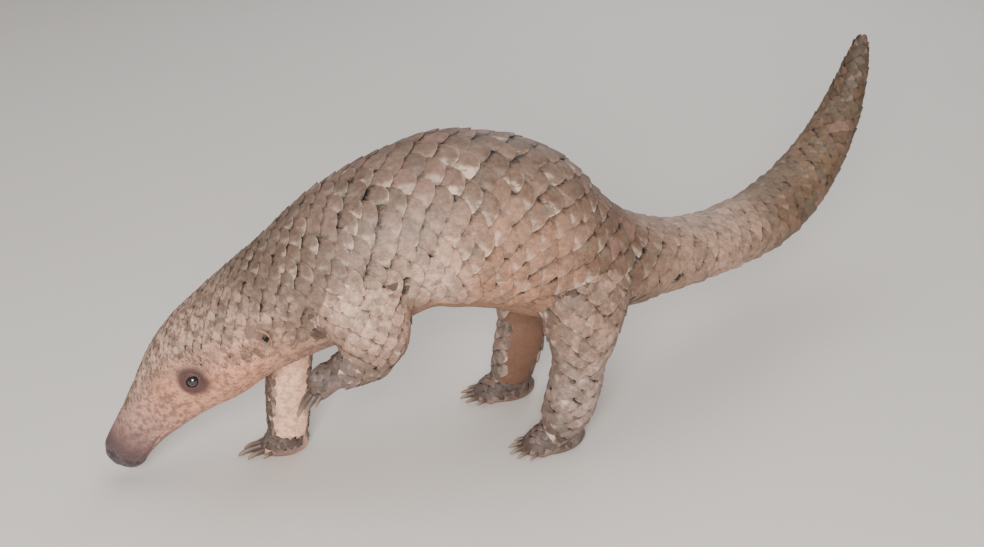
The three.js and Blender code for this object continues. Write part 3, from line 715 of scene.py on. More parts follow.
# Scales. Along the body: distance, half a scale's length, spacing of columns, tip height. The same
# three sizes for the limbs.
scaleLook = {
    "body": np.array([
        (30, 2.2, 3.0, 0.5), (70, 2.7, 3.7, 0.65), (110, 3.1, 4.2, 0.8), (150, 3.9, 5.4, 1.1),
        (194, 5.2, 7.2, 1.5), (233, 6.8, 9.4, 2.0), (280, 7.9, 11.3, 2.5), (330, 8.2, 12.1, 2.8),
        (450, 8.3, 12.3, 2.9), (518, 8.4, 11.8, 2.8), (600, 8.2, 11.0, 2.7), (700, 8.2, 10.4, 2.5),
        (800, 7.6, 9.0, 2.2), (880, 6.4, 7.2, 2.0), (931, 5.6, 5.6, 2.0),
    ]),
    "front_upper": (5.2, 6.4, 1.3),
    "front_lower": (4.2, 5.0, 1.0),
    "hind_upper": (7.0, 9.6, 1.9),
    "hind_lower": (6.5, 9.0, 1.6),
    "front_foot": (3.0, 3.8, 0.75),
    "hind_foot": (3.6, 4.6, 0.9),
    # where the rows start, and how far before the line's end they stop
    "runs": {"body": (30, 1), "upper": (6, 12), "lower": (6, 2), "foot": (3, 4)},
    "overlap": 1.3,
    "widthOverlap": 1.24,
    "root": 1.4,
    "rootNarrowing": 0.4,
    "roundness": 1.6,
    "rowSpacing": 1.35,
    "plateThickness": (0.15, 0.34),  # millimetres, and a share of the tip height
    "rootLift": [(0, -0.3), (180, -0.2), (250, 0.1)],
    "legRootLift": 0.1,
    "footRootLift": -0.25,
    "crown": 0.16,
    "edgeDrop": 0.05,
    "earClear": 5.5,
    "eyeClear": 13,
    "buried": -1.5,
    "awayLimit": 12,
    "lowAwayLimit": 7,
    "lowBand": 16,
    "lowFrom": 420,
    "placeJitter": 0.07,
    "turnJitter": 3.5,
    "sizeJitter": 0.07,
    "liftJitter": 0.22,
    "rows": 8,
    "columns": 7,
    "bakePatch": 0.003,
}
plateTones = {
    "rimShade": 0.4,
    # strength of the pale worn rims and lower corners, the corners partly a painted highlight
    "paleEdges": [(30, 0.1), (150, 0.2), (250, 0.9), (330, 1.2), (410, 1.0), (470, 0.6), (620, 0.35),
                  (931, 0.3)],
    "paleLegs": 1.2,
    "paleFeet": 0.3,
    "paleLoss": 0.7,  # along the lowest scales of the flank
    "leastWear": 0.12,
    "bodyMottling": 0.4,
    "legMottling": 0.6,
}


def lattice(line, name, start, stop, sizesAt):
    # Rings a half scale apart; each ring has every other column, so that the rows interlock.
    # The spacing in angle is the column's width over the section's mean radius.
    found = []
    distance = start
    while distance < stop:
        step, column, height = sizesAt(distance)
        width, depth, reach = line.read(line.girth, distance)
        spacing = column / math.sqrt((width * width + depth * depth) / 2)
        if reach > 176:
            half = max(3, round(math.pi / spacing))
            spacing = math.pi / half
            columns = np.arange(-half + 1, half + 1)
        else:
            half = int((math.radians(reach) + 0.3 * spacing) / spacing)
            columns = np.arange(-half, half + 1)
        turn = columns[(columns + len(found)) % 2 == 0] * spacing
        flat = (depth - width) / (2 * (depth + width))
        rest = np.broadcast_to([flat, step, column, height], (len(turn), 4))
        found.append(np.column_stack([np.full(len(turn), distance), turn, rest]))
        distance += step
    return {"line": line, "name": name, "rows": np.vstack(found)}


def bodySizes(distance):
    table = scaleLook["body"]
    return [float(np.interp(distance, table[:, 0], table[:, k])) for k in (1, 2, 3)]


def plateSheets(group):
    # Each scale as a sheet of rows and columns on the flesh. Behind its widest line the half width
    # is (1 - (x / length)^r)^(1/r), and ahead of it the sheet narrows to its root.
    line = group["line"]
    distance, turn, flat, step, column, height = group["rows"].T
    jitter = random.uniform(-1, 1, (6, len(distance)))
    distance = distance + jitter[0] * scaleLook["placeJitter"] * 2 * step
    halfGirth = line.read(line.girth, distance)[:, 0]
    turn = turn + jitter[1] * scaleLook["placeJitter"] * column * 2 / halfGirth
    rear = step * scaleLook["overlap"] * (1 + jitter[2] * scaleLook["sizeJitter"])
    front = step * scaleLook["root"]
    halfWidth = column * scaleLook["widthOverlap"] * (1 + jitter[3] * scaleLook["sizeJitter"])
    u = 1 - (1 - np.linspace(0, 1, scaleLook["rows"])) ** scaleLook["rowSpacing"]
    v = np.linspace(-1, 1, scaleLook["columns"])
    x = -front[:, None] + (front + rear * 0.985)[:, None] * u[None, :]
    r = scaleLook["roundness"]
    behind = (1 - np.clip(x / rear[:, None], 0, 1) ** r) ** (1 / r)
    ahead = 1 - scaleLook["rootNarrowing"] * np.clip(-x / front[:, None], 0, 1) ** 2
    y = (halfWidth[:, None] * behind * ahead)[:, :, None] * v
    x = np.broadcast_to(x[:, :, None], y.shape)
    skew = np.radians(jitter[4] * scaleLook["turnJitter"])[:, None, None]
    alongLine = distance[:, None, None] + x * np.cos(skew) - y * np.sin(skew)
    around = x * np.sin(skew) + y * np.cos(skew)
    rawAngle = turn + flat * np.sin(2 * turn)
    speed = line.speed(distance, rawAngle) * (1 + 2 * flat * np.cos(2 * turn))
    turned = turn[:, None, None] + around / speed[:, None, None]
    angle = turned + flat[:, None, None] * np.sin(2 * turned)
    tipLift = height * (1 + jitter[5] * scaleLook["liftJitter"])
    if line is body:  # flatter towards the edge of the head's scales
        edge = smooth(0.55, 1.0, np.abs(rawAngle) / line.reach(distance))
        tipLift = tipLift * (1 - 0.5 * edge * (1 - smooth(170, 230, distance)))
    group.update({
        "sheet": line.point(alongLine, angle), "along": alongLine, "angle": angle,
        "rise": (x + step[:, None, None]) / (step + rear)[:, None, None],
        "u": np.broadcast_to(u[:, None], y.shape), "v": np.broadcast_to(v, y.shape),
        "tip": tipLift, "height": height, "root": np.stack([distance, rawAngle], -1),
    })
    return group


start, short = scaleLook["runs"]["body"]
groups = [lattice(body, "body", start, body.length - short, bodySizes)]
for name, line in limbLines.items():
    first, _, last = name.split("_")
    start, short = scaleLook["runs"][last]
    sizes = scaleLook[f"{first}_{last}"]
    groups.append(lattice(line, name, start, line.length - short, lambda distance: sizes))
groups = [plateSheets(group) for group in groups]

# Sheets are drawn to the fused skin, so that scales follow it where limbs join the trunk.
allSheets = np.vstack([group["sheet"].reshape(-1, 3) for group in groups])
sheetItem = makeMesh("sheets", place(allSheets), [])
wrap = sheetItem.modifiers.new("Wrap", "SHRINKWRAP")
wrap.target = skin
wrap.wrap_method = "NEAREST_SURFACEPOINT"
drawn = unplace(vertexPlaces(evaluated(sheetItem)))
bpy.data.objects.remove(sheetItem)
print("scale sheets drawn to the skin:", len(allSheets))


def freeScales(group, away):
    # Scales whose middle isn't inside another limb and that the skin didn't draw far. Along the
    # lowest part of the rear flank the limit is closer, and the ear and eye stay clear.
    middle = group["sheet"][:, scaleLook["rows"] // 2, scaleLook["columns"] // 2]
    kept = away < scaleLook["awayLimit"]
    for other in (body, *limbLines.values()):
        if other is not group["line"]:
            distance, _, lift = other.locate(middle)
            kept &= ~((lift < scaleLook["buried"]) & (distance > 0) & (distance < other.length))
    if group["line"] is body:
        rootAt, rootAngle = group["root"].T
        reach = body.read(body.girth, rootAt)[:, 2]
        lowest = np.degrees(np.abs(rootAngle)) > reach - scaleLook["lowBand"]
        kept &= ~(lowest & (rootAt > scaleLook["lowFrom"]) & (away > scaleLook["lowAwayLimit"]))
        kept &= fromSpot(ear, rootAt, rootAngle) > scaleLook["earClear"]
        kept &= fromSpot(eye, rootAt, rootAngle) > scaleLook["eyeClear"]
    return kept


start = 0
for group in groups:
    shape = group["sheet"].shape
    size = int(np.prod(shape[:3]))
    group["drawn"] = drawn[start:start + size].reshape(shape)
    start += size
    away = np.linalg.norm(group["drawn"] - group["sheet"], axis=-1)
    kept = freeScales(group, away.max(axis=(1, 2)))
    for key in ("drawn", "along", "angle", "rise", "u", "v", "tip", "height", "root"):
        group[key] = group[key][kept]
    print(group["name"], "scales:", int(kept.sum()), "of", len(kept))


def plateFaces():
    # The top grid, the rim round it and one face below, for one scale.
    rows, columns = scaleLook["rows"], scaleLook["columns"]
    top = np.arange(rows * columns).reshape(rows, columns)
    edge = np.concatenate([top[0, :-1], top[:-1, -1], top[-1, :0:-1], top[:0:-1, 0]])
    rim = rows * columns + np.arange(len(edge))
    sides = np.stack([np.roll(edge, -1), edge, rim, np.roll(rim, -1)], -1)
    return (gridFaces(rows, columns, wrap=False), sides, rim[None, :]), edge


def buildScales(name, group, chosen, nodes):
    # A scale rises from its root to its tip, crowned across and turned down a little at its edge:
    # lift = tip * rise + root lift + crown * (1 - v squared) * rise - edge drop * max(|v|, u)^8.
    # Its underside is its edge moved in along the normal by the plate's thickness.
    faces, edge = plateFaces()
    tops = scaleLook["rows"] * scaleLook["columns"]
    picked = [group[key][chosen] for key in ("drawn", "u", "v", "rise", "tip", "height", "root")]
    places, u, v, rise, tip, height, root = picked
    rootAt, rootAngle = root.T
    count = len(places)
    normal = unit(np.cross(np.gradient(places, axis=2), np.gradient(places, axis=1)))
    tip = tip[:, None, None]
    if group["line"] is body:
        rootLift = np.interp(rootAt, *np.array(scaleLook["rootLift"]).T)
        reach = body.reach(rootAt)
        lowest = smooth(0.8, 0.92, np.abs(rootAngle) / reach) * (reach < 3)
        # strength of the pale worn rims and lower corners, the corners partly a painted highlight
        strength = np.interp(rootAt, *np.array(plateTones["paleEdges"]).T)
        strength = strength * (1 - plateTones["paleLoss"] * lowest)
    else:
        onFoot = group["name"] in footLines
        rootLift = np.full(count, scaleLook["footRootLift" if onFoot else "legRootLift"])
        strength = np.full(count, plateTones["paleFeet" if onFoot else "paleLegs"])
    crown = scaleLook["crown"] * tip * (1 - v * v) * np.clip(rise, 0, 1)
    drop = scaleLook["edgeDrop"] * tip * np.maximum(np.abs(v), u) ** 8
    top = places + normal * (tip * rise + rootLift[:, None, None] + crown - drop)[..., None]
    top = top.reshape(count, -1, 3)
    least, share = scaleLook["plateThickness"]
    thick = (share * height + least)[:, None, None]
    under = top[:, edge] - normal.reshape(count, -1, 3)[:, edge] * thick
    under = under + (top.mean(1, keepdims=True) - under) * 0.03
    points = np.concatenate([top, under], axis=1)
    size = points.shape[1]
    offsets = (np.arange(count) * size)[:, None, None]
    faceGroups = [(part[None] + offsets).reshape(-1, part.shape[1]) for part in faces]
    source = np.concatenate([np.arange(tops), edge])
    onTop = np.tile(np.arange(size) < tops, count)

    def perPoint(values):
        return values.reshape(count, -1)[:, source].reshape(-1)

    along = perPoint(group["along"][chosen])
    angle = perPoint(group["angle"][chosen])
    lowSide = np.sign(rootAngle + 1e-6)[:, None, None]
    plate = np.stack([perPoint(u), perPoint(v * lowSide) * 0.5 + 0.5], -1)
    rootPlace = np.repeat(unwrapAt(group["name"], rootAt, rootAngle), size, axis=0)
    bake = rootPlace + (plate - 0.5) * scaleLook["bakePatch"]
    bare = np.zeros(len(along))
    if group["line"] is body:
        tone = bodyMarking(along, angle, bare)
        mottling = 1 - (1 - plateTones["bodyMottling"]) * smooth(170, 300, along)
    else:
        tone = legMarking(group["name"], along, angle, bare)
        mottling = bare + plateTones["legMottling"]
    tone = tone * np.where(onTop, 1.0, plateTones["rimShade"])[:, None]
    tint = np.repeat(random.uniform(0, 1, count), size)
    least = plateTones["leastWear"]
    wearAndHighlight = (least + (1 - least) * random.uniform(0, 1, count) ** 2) * strength
    item = makeMesh(name, place(points.reshape(-1, 3)), faceGroups, {"OFBake": bake, "Plate": plate},
                    {"tint": tint, "wearAndHighlight": np.repeat(wearAndHighlight, size) * onTop, "mottling": mottling},
                    {"marking": tone}, sharp=38)
    settle(item, scaleHorn, "scale", *nodes)


# Shader expressions.
class Signal:
    # A socket of a node tree. Operators add Math nodes, and node() adds any other.
    def __init__(self, tree, socket=None):
        self.tree = tree
        self.socket = socket

    def node(self, kind, settings=None, inputs=None, output=0):
        made = self.tree.nodes.new(kind)
        for key, value in (settings or {}).items():
            setattr(made, key, value)
        for key, value in (inputs or {}).items():
            if isinstance(value, Signal):
                self.tree.links.new(value.socket, made.inputs[key])
            else:
                made.inputs[key].default_value = value
        return Signal(self.tree, made.outputs[output])

    def math(self, operation, first, second=0.0):
        return self.node("ShaderNodeMath", {"operation": operation}, {0: first, 1: second})

    def __add__(self, other):
        return self.math("ADD", self, other)

    def __radd__(self, other):
        return self.math("ADD", other, self)

    def __sub__(self, other):
        return self.math("SUBTRACT", self, other)

    def __rsub__(self, other):
        return self.math("SUBTRACT", other, self)

    def __mul__(self, other):
        return self.math("MULTIPLY", self, other)

    def __rmul__(self, other):
        return self.math("MULTIPLY", other, self)

    def clamped(self):
        return self.node("ShaderNodeClamp", None, {"Value": self})

    def ranged(self, low, high):
        inputs = {"Value": self, "From Min": low, "From Max": high}
        return self.node("ShaderNodeMapRange", {"interpolation_type": "SMOOTHSTEP"}, inputs)


def mixColour(factor, first, second, kind="MIX"):
    settings = {"data_type": "RGBA", "blend_type": kind}
    root = next(value for value in (factor, first, second) if isinstance(value, Signal))
    return root.node("ShaderNodeMix", settings, {0: factor, 6: first, 7: second}, output=2)


def newMaterial(name, constants):
    # The material, the start of its expressions, and Object coordinates.
    material = bpy.data.materials.new(name)
    material.use_nodes = True
    for key, value in constants.items():
        material.node_tree.nodes["Principled BSDF"].inputs[key].default_value = value
    root = Signal(material.node_tree)
    return material, root, root.node("ShaderNodeTexCoord", output=3)


def feed(root, signals):
    for key, signal in signals.items():
        root.tree.links.new(signal.socket, root.tree.nodes["Principled BSDF"].inputs[key])


def rgba(colour, brightness=1.0):
    return (*[float(part * brightness) for part in linear(colour)], 1.0)


def noise(root, vector, scale, detail=3.0, roughness=0.55):
    inputs = {"Vector": vector, "Scale": scale, "Detail": detail, "Roughness": roughness}
    return root.node("ShaderNodeTexNoise", None, inputs)


def attribute(root, name):
    return root.node("ShaderNodeAttribute", {"attribute_name": name}, output=2)


def plateShares(root):
    # The two numbers of the Plate map: from the root to the tip, and across.
    plate = root.node("ShaderNodeUVMap", {"uv_map": "Plate"})
    u = root.node("ShaderNodeSeparateXYZ", None, {0: plate})
    return u, Signal(root.tree, u.socket.node.outputs[1])


def shadedMarking(root, value):
    # The marking's colour times a number.
    marking = root.node("ShaderNodeAttribute", {"attribute_name": "marking"})
    shade = root.node("ShaderNodeCombineColor", None, {0: value, 1: value, 2: value})
    return mixColour(1.0, marking, shade, "MULTIPLY")


def bump(height, strength, depth):
    inputs = {"Strength": strength, "Distance": depth, "Height": height}
    return height.node("ShaderNodeBump", None, inputs)


# Noises are given as scale, detail and roughness. The other numbers are amounts, or the two levels
# that a mask turns on between.
scaleFinish = {
    "specular": 0.32,
    "roughness": 0.56,
    "noises": {"cloud": (75.0, 4.0, 0.6), "blotches": (250.0, 3.0, 0.6),
               "speckle": (700.0, 3.0, 0.65), "patch": (150.0, 2.0, 0.5), "green": (60.0, 2.0),
               "pink": (48.0, 2.0, 0.4), "spots": (165.0, 4.0, 0.65)},
    "brightness": 0.74,
    "tint": 0.3,
    "cloud": 0.7,
    "blotches": 0.95,
    "striation": 0.55,
    "speckle": 0.5,
    # painted shade where a scale comes out from under its neighbours
    "shadeUnderNeighbours": 0.68,
    "shadeUnderNeighboursEnd": (0.2, 0.5),
    "rim": (0.06, 0.3),
    "corner": (0.2, 0.8),
    "cornerSide": (0.48, 0.68),
    "cornerEnd": (0.44, 0.66),
    "greenColour": (118, 113, 98),
    "green": 0.34,
    "pinkColour": (172, 128, 120),
    "pink": 0.24,
    "spotColour": (96, 76, 64),
    "spots": 0.72,
    # colour of the pale worn rims and of the lower corners, these partly a painted highlight
    "paleColour": (232, 204, 184),
    "pale": 0.64,
    "bump": (0.55, 0.0006),
}


def scaleMaterial():
    # Horn plates: the marking's colour, a tint for each scale, blotches and fine lines to the tip,
    # painted shade where a scale comes out from under its neighbours, greenish or pink patches, dark
    # spots on the head, pale worn rims, and pale lower corners that are partly wear and partly a
    # painted highlight.
    look = scaleFinish
    material, root, where = newMaterial("scaleHorn", {"Specular IOR Level": look["specular"]})
    noises = [noise(root, where, *values) for values in look["noises"].values()]
    cloud, blotches, speckle, patch, green, pink, spots = noises
    tint, wearAndHighlight, mottling = [attribute(root, name) for name in ("tint", "wearAndHighlight", "mottling")]
    patch = patch.ranged(0.4, 0.6)
    u, v = plateShares(root)
    side = root.math("ABSOLUTE", v * 2.0 - 1.0)
    shown = u - side * 0.45
    lineVector = root.node("ShaderNodeCombineXYZ", None, {0: v * 24.0, 1: u * 1.5, 2: tint * 40.0})
    lines = noise(root, lineVector, 1.0, 3.0, 0.6)
    growth = root.math("SINE", (u + lines * 0.06) * 62.0)
    rough = (lines - 0.5) * 0.3 + (speckle - 0.5) * 0.25
    low = (v + rough).ranged(*look["cornerSide"])
    # pale worn rims, and pale lower corners that are partly wear and partly a painted highlight
    rim = root.math("MAXIMUM", u.ranged(0.88, 0.99), side.ranged(0.84, 0.99))
    rim = rim * (look["rim"][0] + patch * look["rim"][1])
    corner = low * (1.0 - (shown + rough).ranged(*look["cornerEnd"]))
    corner = corner * (look["corner"][0] + patch * look["corner"][1])
    pale = ((rim + corner) * wearAndHighlight).clamped()
    # painted shade where the scale comes out from under its neighbours, less on its lower side
    shadeUnderNeighbours = 1.0 - (shown + (blotches - 0.5) * 0.25).ranged(*look["shadeUnderNeighboursEnd"])
    shadeUnderNeighbours = shadeUnderNeighbours * (1.0 - low * 0.6)
    value = look["brightness"] - shadeUnderNeighbours * look["shadeUnderNeighbours"]
    for name, signal in {"tint": tint, "blotches": blotches, "cloud": cloud, "striation": lines,
                         "speckle": speckle}.items():
        value = value + (signal - 0.5) * look[name]
    colour = shadedMarking(root, value)
    green = green.ranged(0.45, 0.68) * (1.0 - tint.ranged(0.3, 0.75))
    colour = mixColour(green * look["green"], colour, rgba(look["greenColour"]))
    pink = pink.ranged(0.5, 0.66) * tint.ranged(0.3, 0.8)
    colour = mixColour(pink * look["pink"], colour, rgba(look["pinkColour"]))
    spots = spots.ranged(0.46, 0.58) * mottling
    colour = mixColour(spots * look["spots"], colour, rgba(look["spotColour"]))
    colour = mixColour(pale * look["pale"], colour, rgba(look["paleColour"]))
    normal = bump(lines * 0.55 + growth * 0.04 + speckle * 0.35 + blotches * 0.3, *look["bump"])
    roughness = look["roughness"] + (cloud - 0.5) * 0.25 + pale * 0.08
    feed(root, {"Base Color": colour, "Roughness": roughness, "Normal": normal})
    return material


skinFinish = {
    "constants": {"Specular IOR Level": 0.35, "Subsurface Weight": 0.12, "Subsurface Scale": 0.003,
                  "Subsurface Radius": (1.0, 0.4, 0.25)},
    "noises": {"blotches": (190.0, 5.0, 0.7), "flecks": (360.0, 4.0, 0.7), "cloud": (40.0, 3.0),
               "fine": (800.0, 3.0, 0.6), "soft": (190.0, 3.0)},
    "brightness": (0.66, 0.56),
    "flecks": (0.3, 0.7),
    "blotches": (0.24, 0.42),
    "blotchColour": (98, 72, 66),
    "pores": 420.0,
    "roughness": 0.62,
    "bump": (0.45, 0.0006),
}


def skinMaterial():
    # Bare skin: the marking's colour, grey-mauve blotches and flecks by how mottled it is, pores
    # and fine creases.
    look = skinFinish
    material, root, where = newMaterial("bareSkin", look["constants"])
    noises = [noise(root, where, *values) for values in look["noises"].values()]
    blotches, flecks, cloud, fine, soft = noises
    mottling = attribute(root, "mottling")
    value = look["brightness"][0] + cloud * look["brightness"][1] + (fine - 0.5) * 0.3
    value = value + (flecks - 0.5) * (look["flecks"][0] + mottling * look["flecks"][1])
    stain = blotches.ranged(0.44, 0.6) * (look["blotches"][0] + mottling * look["blotches"][1])
    colour = mixColour(stain, shadedMarking(root, value), rgba(look["blotchColour"]))
    cells = root.node("ShaderNodeTexVoronoi", {"feature": "DISTANCE_TO_EDGE"},
                      {"Vector": where, "Scale": look["pores"]})
    normal = bump(fine * 0.5 + cells.ranged(0.0, 0.2) * 0.6 + soft * 0.8, *look["bump"])
    roughness = look["roughness"] + (cloud - 0.5) * 0.2 - fine * 0.08
    feed(root, {"Base Color": colour, "Roughness": roughness, "Normal": normal})
    return material


padFinish = {"constants": {"Specular IOR Level": 0.5, "Coat Weight": 0.15, "Coat Roughness": 0.25},
             "dark": (56, 46, 50), "pale": (96, 80, 84), "pebbles": 900.0, "bump": (0.35, 0.0004)}


def padMaterial():
    # Moist nose leather: dark mauve-grey with close pebbles.
    material, root, where = newMaterial("noseLeather", padFinish["constants"])
    cloud = noise(root, where, 160.0)
    pebbles = root.node("ShaderNodeTexVoronoi", {"feature": "F1"},
                        {"Vector": where, "Scale": padFinish["pebbles"]})
    colour = mixColour(cloud.ranged(0.35, 0.65), rgba(padFinish["dark"]), rgba(padFinish["pale"]))
    normal = bump(1.0 - pebbles, *padFinish["bump"])
    feed(root, {"Base Color": colour, "Roughness": 0.34 + cloud * 0.2, "Normal": normal})
    return material


clawFinish = {"constants": {"Specular IOR Level": 0.5}, "root": (84, 68, 60), "tip": (158, 134, 112),
              "bump": (0.4, 0.0003)}


def clawMaterial():
    # Claw horn: dark root, paler worn tip, fine lines lengthwise.
    material, root, where = newMaterial("clawHorn", clawFinish["constants"])
    u, v = plateShares(root)
    lines = noise(root, root.node("ShaderNodeCombineXYZ", None, {0: v * 30.0, 1: u * 2.0}), 1.0)
    cloud = noise(root, where, 220.0)
    share = (u.ranged(0.25, 1.0) * 0.75 + (cloud - 0.5) * 0.4).clamped()
    colour = mixColour(share, rgba(clawFinish["root"]), rgba(clawFinish["tip"]))
    normal = bump(lines, *clawFinish["bump"])
    feed(root, {"Base Color": colour, "Roughness": 0.36 + cloud * 0.2, "Normal": normal})
    return material


eyeFinish = {"constants": {"Specular IOR Level": 0.7, "Coat Weight": 1.0, "Coat Roughness": 0.02,
                           "Roughness": 0.12},
             "pupil": (14, 11, 11), "iris": (52, 36, 28), "pupilEdge": (0.30, 0.38)}


def eyeMaterial():
    # A wet dark ball: near black in the middle, brown iris round it.
    material, root, _ = newMaterial("eyeGloss", eyeFinish["constants"])
    u, _ = plateShares(root)
    share = u.ranged(*eyeFinish["pupilEdge"])
    feed(root, {"Base Color": mixColour(share, rgba(eyeFinish["pupil"]), rgba(eyeFinish["iris"]))})
    return material


scaleHorn = scaleMaterial()
bareSkin = skinMaterial()
noseLeather = padMaterial()
clawHorn = clawMaterial()
eyeGloss = eyeMaterial()
print("materials made")

legNodes = [f"{name}_{part}" for name in legs for part in ("upper", "lower", "foot")]
trunkNodes = ["neck", "torso_front", "torso_middle", "torso_rear"]
tailNodes = ["tail_base", "tail_middle", "tail_end", "tail_tip"]
settle(skin, bareSkin, "skin", "head", "jaw", *trunkNodes, *tailNodes, *legNodes)

stretches = {
    "scales_head": (0, 194, ["head"]),
    "scales_shoulders": (194, 350, trunkNodes),
    "scales_back": (350, 518, trunkNodes),
    "scales_tail": (518, 2000, tailNodes),
}
rootDistance = groups[0]["root"][:, 0]
for name, (start, stop, nodes) in stretches.items():
    buildScales(name, groups[0], (rootDistance >= start) & (rootDistance < stop), nodes)
for group in groups[1:]:
    buildScales(f"scales_{group['name']}", group, np.ones(len(group["tip"]), bool), [group["name"]])
print("scales made")

# Nose pad: rows run from the rim, back on the snout, forward and in to a rounded front. A nostril
# is a pit with a raised rim.
padLook = {"rim": 10.5, "front": -2.2, "roundness": 0.62, "endAngle": 87, "rows": 34, "columns": 72,
           "nostrilAt": 2.2, "nostrilAngle": 64, "nostrilDepth": 3.6, "nostrilSize": (1.9, 2.7),
           "nostrilRim": 0.9, "groove": 0.7, "tuck": 1.2}


def nosePad():
    # The distance goes as rim - depth * sin(a), and the section shrinks as cos(a) to a power.
    a = np.linspace(0, math.radians(padLook["endAngle"]), padLook["rows"])[:, None]
    turn = fullTurn(padLook["columns"])
    distance = padLook["rim"] - (padLook["rim"] - padLook["front"]) * np.sin(a)
    halfWidth, halfHeight, _ = body.read(body.girth, padLook["rim"])
    shrink = np.cos(a) ** padLook["roundness"]
    folded = np.where(turn > math.pi, turn - 2 * math.pi, turn)
    fromNostril = np.hypot((distance - padLook["nostrilAt"]) / padLook["nostrilSize"][0],
                           (np.abs(folded) - math.radians(padLook["nostrilAngle"])) * 11
                           / padLook["nostrilSize"][1])
    relief = padLook["nostrilRim"] * bell(fromNostril - 1.7, 0.6)
    relief -= padLook["nostrilDepth"] * bell(fromNostril, 0.8)
    relief -= padLook["groove"] * bell(folded * 9, 1.2) * smooth(0.5, 1.2, a)
    relief -= padLook["tuck"] * (1 - smooth(0, 0.16, a))
    within = np.clip(distance, 0, None)
    side = body.read(body.side, within)
    up = body.read(body.up, within)
    along = body.read(body.along, 0)
    base = body.read(body.path, within) + along * (distance - within)[..., None]
    turnSide, turnUp = np.sin(turn)[..., None], np.cos(turn)[..., None]
    section = side * turnSide * halfWidth + up * turnUp * halfHeight
    radial = unit(side * turnSide + up * turnUp)
    inward = np.cos(a)[..., None] * radial - np.sin(a)[..., None] * along
    grid = base + section * shrink[..., None] + inward * relief[..., None]
    points, faces = closedTube(grid[::-1])
    settle(makeMesh("nose_pad", place(points), faces), noseLeather, "nose_pad", "nose")


nosePad()

# Eyes: a ball with its pole outwards, and lids that leave an almond opening. Ears: a low fold.
eyeLook = {"rows": 28, "columns": 40, "poleGap": 0.03, "cornea": 0.05}
lidLook = {"halfLength": 5.2, "halfHeight": 4.3, "cornerPinch": 0.32, "outerLength": 12.5,
           "outerHeight": 10.5, "margin": 1.1, "thickness": 0.9, "topRows": 22, "underRows": 8,
           "columns": 72, "tilt": 12, "creases": 0.22, "faceRadius": 60}


def eyeFrame(sign):
    surface, outward = spot(eye, sign)
    forward = -body.read(body.along, eye["distance"])
    forward = unit(forward - outward * (forward @ outward))
    rise = np.cross(outward, forward)
    if rise[2] < 0:
        rise = -rise
    c, s = math.cos(math.radians(lidLook["tilt"])), math.sin(math.radians(lidLook["tilt"]))
    forward, rise = forward * c - rise * s, rise * c + forward * s
    return surface, outward, forward, rise, np.sign(np.dot(np.cross(forward, rise), outward))


def eyeBall(name, sign):
    # A sphere round the outward axis, a little prouder in its middle.
    surface, outward, forward, rise, hand = eyeFrame(sign)
    a = np.linspace(eyeLook["poleGap"], math.pi - eyeLook["poleGap"], eyeLook["rows"])[:, None]
    turn = fullTurn(eyeLook["columns"])[..., None]
    ring = np.sin(a)[..., None] * (np.cos(turn) * forward + hand * np.sin(turn) * rise)
    cornea = 1 + eyeLook["cornea"] * bell(a, 0.5)[..., None]
    grid = eyeCentre(sign) + eye["radius"] * (np.cos(a)[..., None] * outward + ring) * cornea
    points, faces = closedTube(grid[::-1])
    fromPole = np.concatenate([np.repeat(a[::-1, 0], eyeLook["columns"]), [math.pi, 0]]) / math.pi
    item = makeMesh(name, place(points), faces, {"Plate": np.column_stack([fromPole, fromPole])})
    settle(item, eyeGloss, "eye", "eye_left" if sign > 0 else "eye_right")


def eyeLids(name, sign):
    # A closed ring: over the lid from its inner edge to the face, then back underneath. Its plan is
    # the share of the way from the almond opening to an outer oval; heights follow the ball.
    surface, outward, forward, rise, hand = eyeFrame(sign)
    turn = fullTurn(lidLook["columns"]).T
    topRows, underRows = lidLook["topRows"], lidLook["underRows"]
    back = np.linspace(1, 0, underRows + 2)[1:-1]
    share = np.concatenate([np.linspace(0, 1, topRows) ** 1.2, back])
    onTop = np.arange(topRows + underRows) < topRows
    x0 = lidLook["halfLength"] * np.cos(turn)
    y0 = lidLook["halfHeight"] * np.sin(turn) * (1 - lidLook["cornerPinch"] * np.cos(turn) ** 4)
    x = x0 + share * (lidLook["outerLength"] * np.cos(turn) - x0)
    y = y0 + share * (lidLook["outerHeight"] * np.sin(turn) - y0)
    radius = np.hypot(x, y)
    shell = eye["radius"] + 0.25
    dome = np.sqrt(np.clip(shell ** 2 - radius ** 2, 0, None)) - (eye["radius"] - eye["bulge"])
    level = np.maximum(dome, -0.2 - 0.9 * smooth(0.6, 1.0, share))
    swell = lidLook["margin"] * (0.35 + 0.65 * smooth(0, 0.1, share))
    swell = (swell + 0.5 * bell(share - 0.16, 0.12)) * (1 - smooth(0.25, 0.95, share))
    creases = np.sin(share * 26) * smooth(0.2, 0.35, share) * (1 - smooth(0.8, 1, share))
    height = level + np.where(onTop, swell + lidLook["creases"] * creases, -lidLook["thickness"])
    height = height - radius ** 2 / (2 * lidLook["faceRadius"])
    grid = surface + forward * x[..., None] + rise * y[..., None] + outward * height[..., None]
    points = grid.reshape(-1, 3)
    faces = gridFaces(grid.shape[0] + 1, grid.shape[1]) % len(points)
    if hand > 0:
        faces = faces[:, ::-1]
    distance, angle, _ = body.locate(points)
    tone = bodyMarking(distance, angle, np.ones(len(points)))
    values = {"mottling": np.full(len(points), 0.4)}
    item = makeMesh(name, place(points), [faces], None, values, {"marking": tone})
    settle(item, bareSkin, "skin", "head")


foldLook = {"arc": 110, "stations": 11, "rows": 40, "columns": 20, "gap": 1.2, "rise": (1.2, 0.8),
            "taper": 0.75, "section": (0.62, 2.0), "ripple": 0.12, "shade": 0.75}


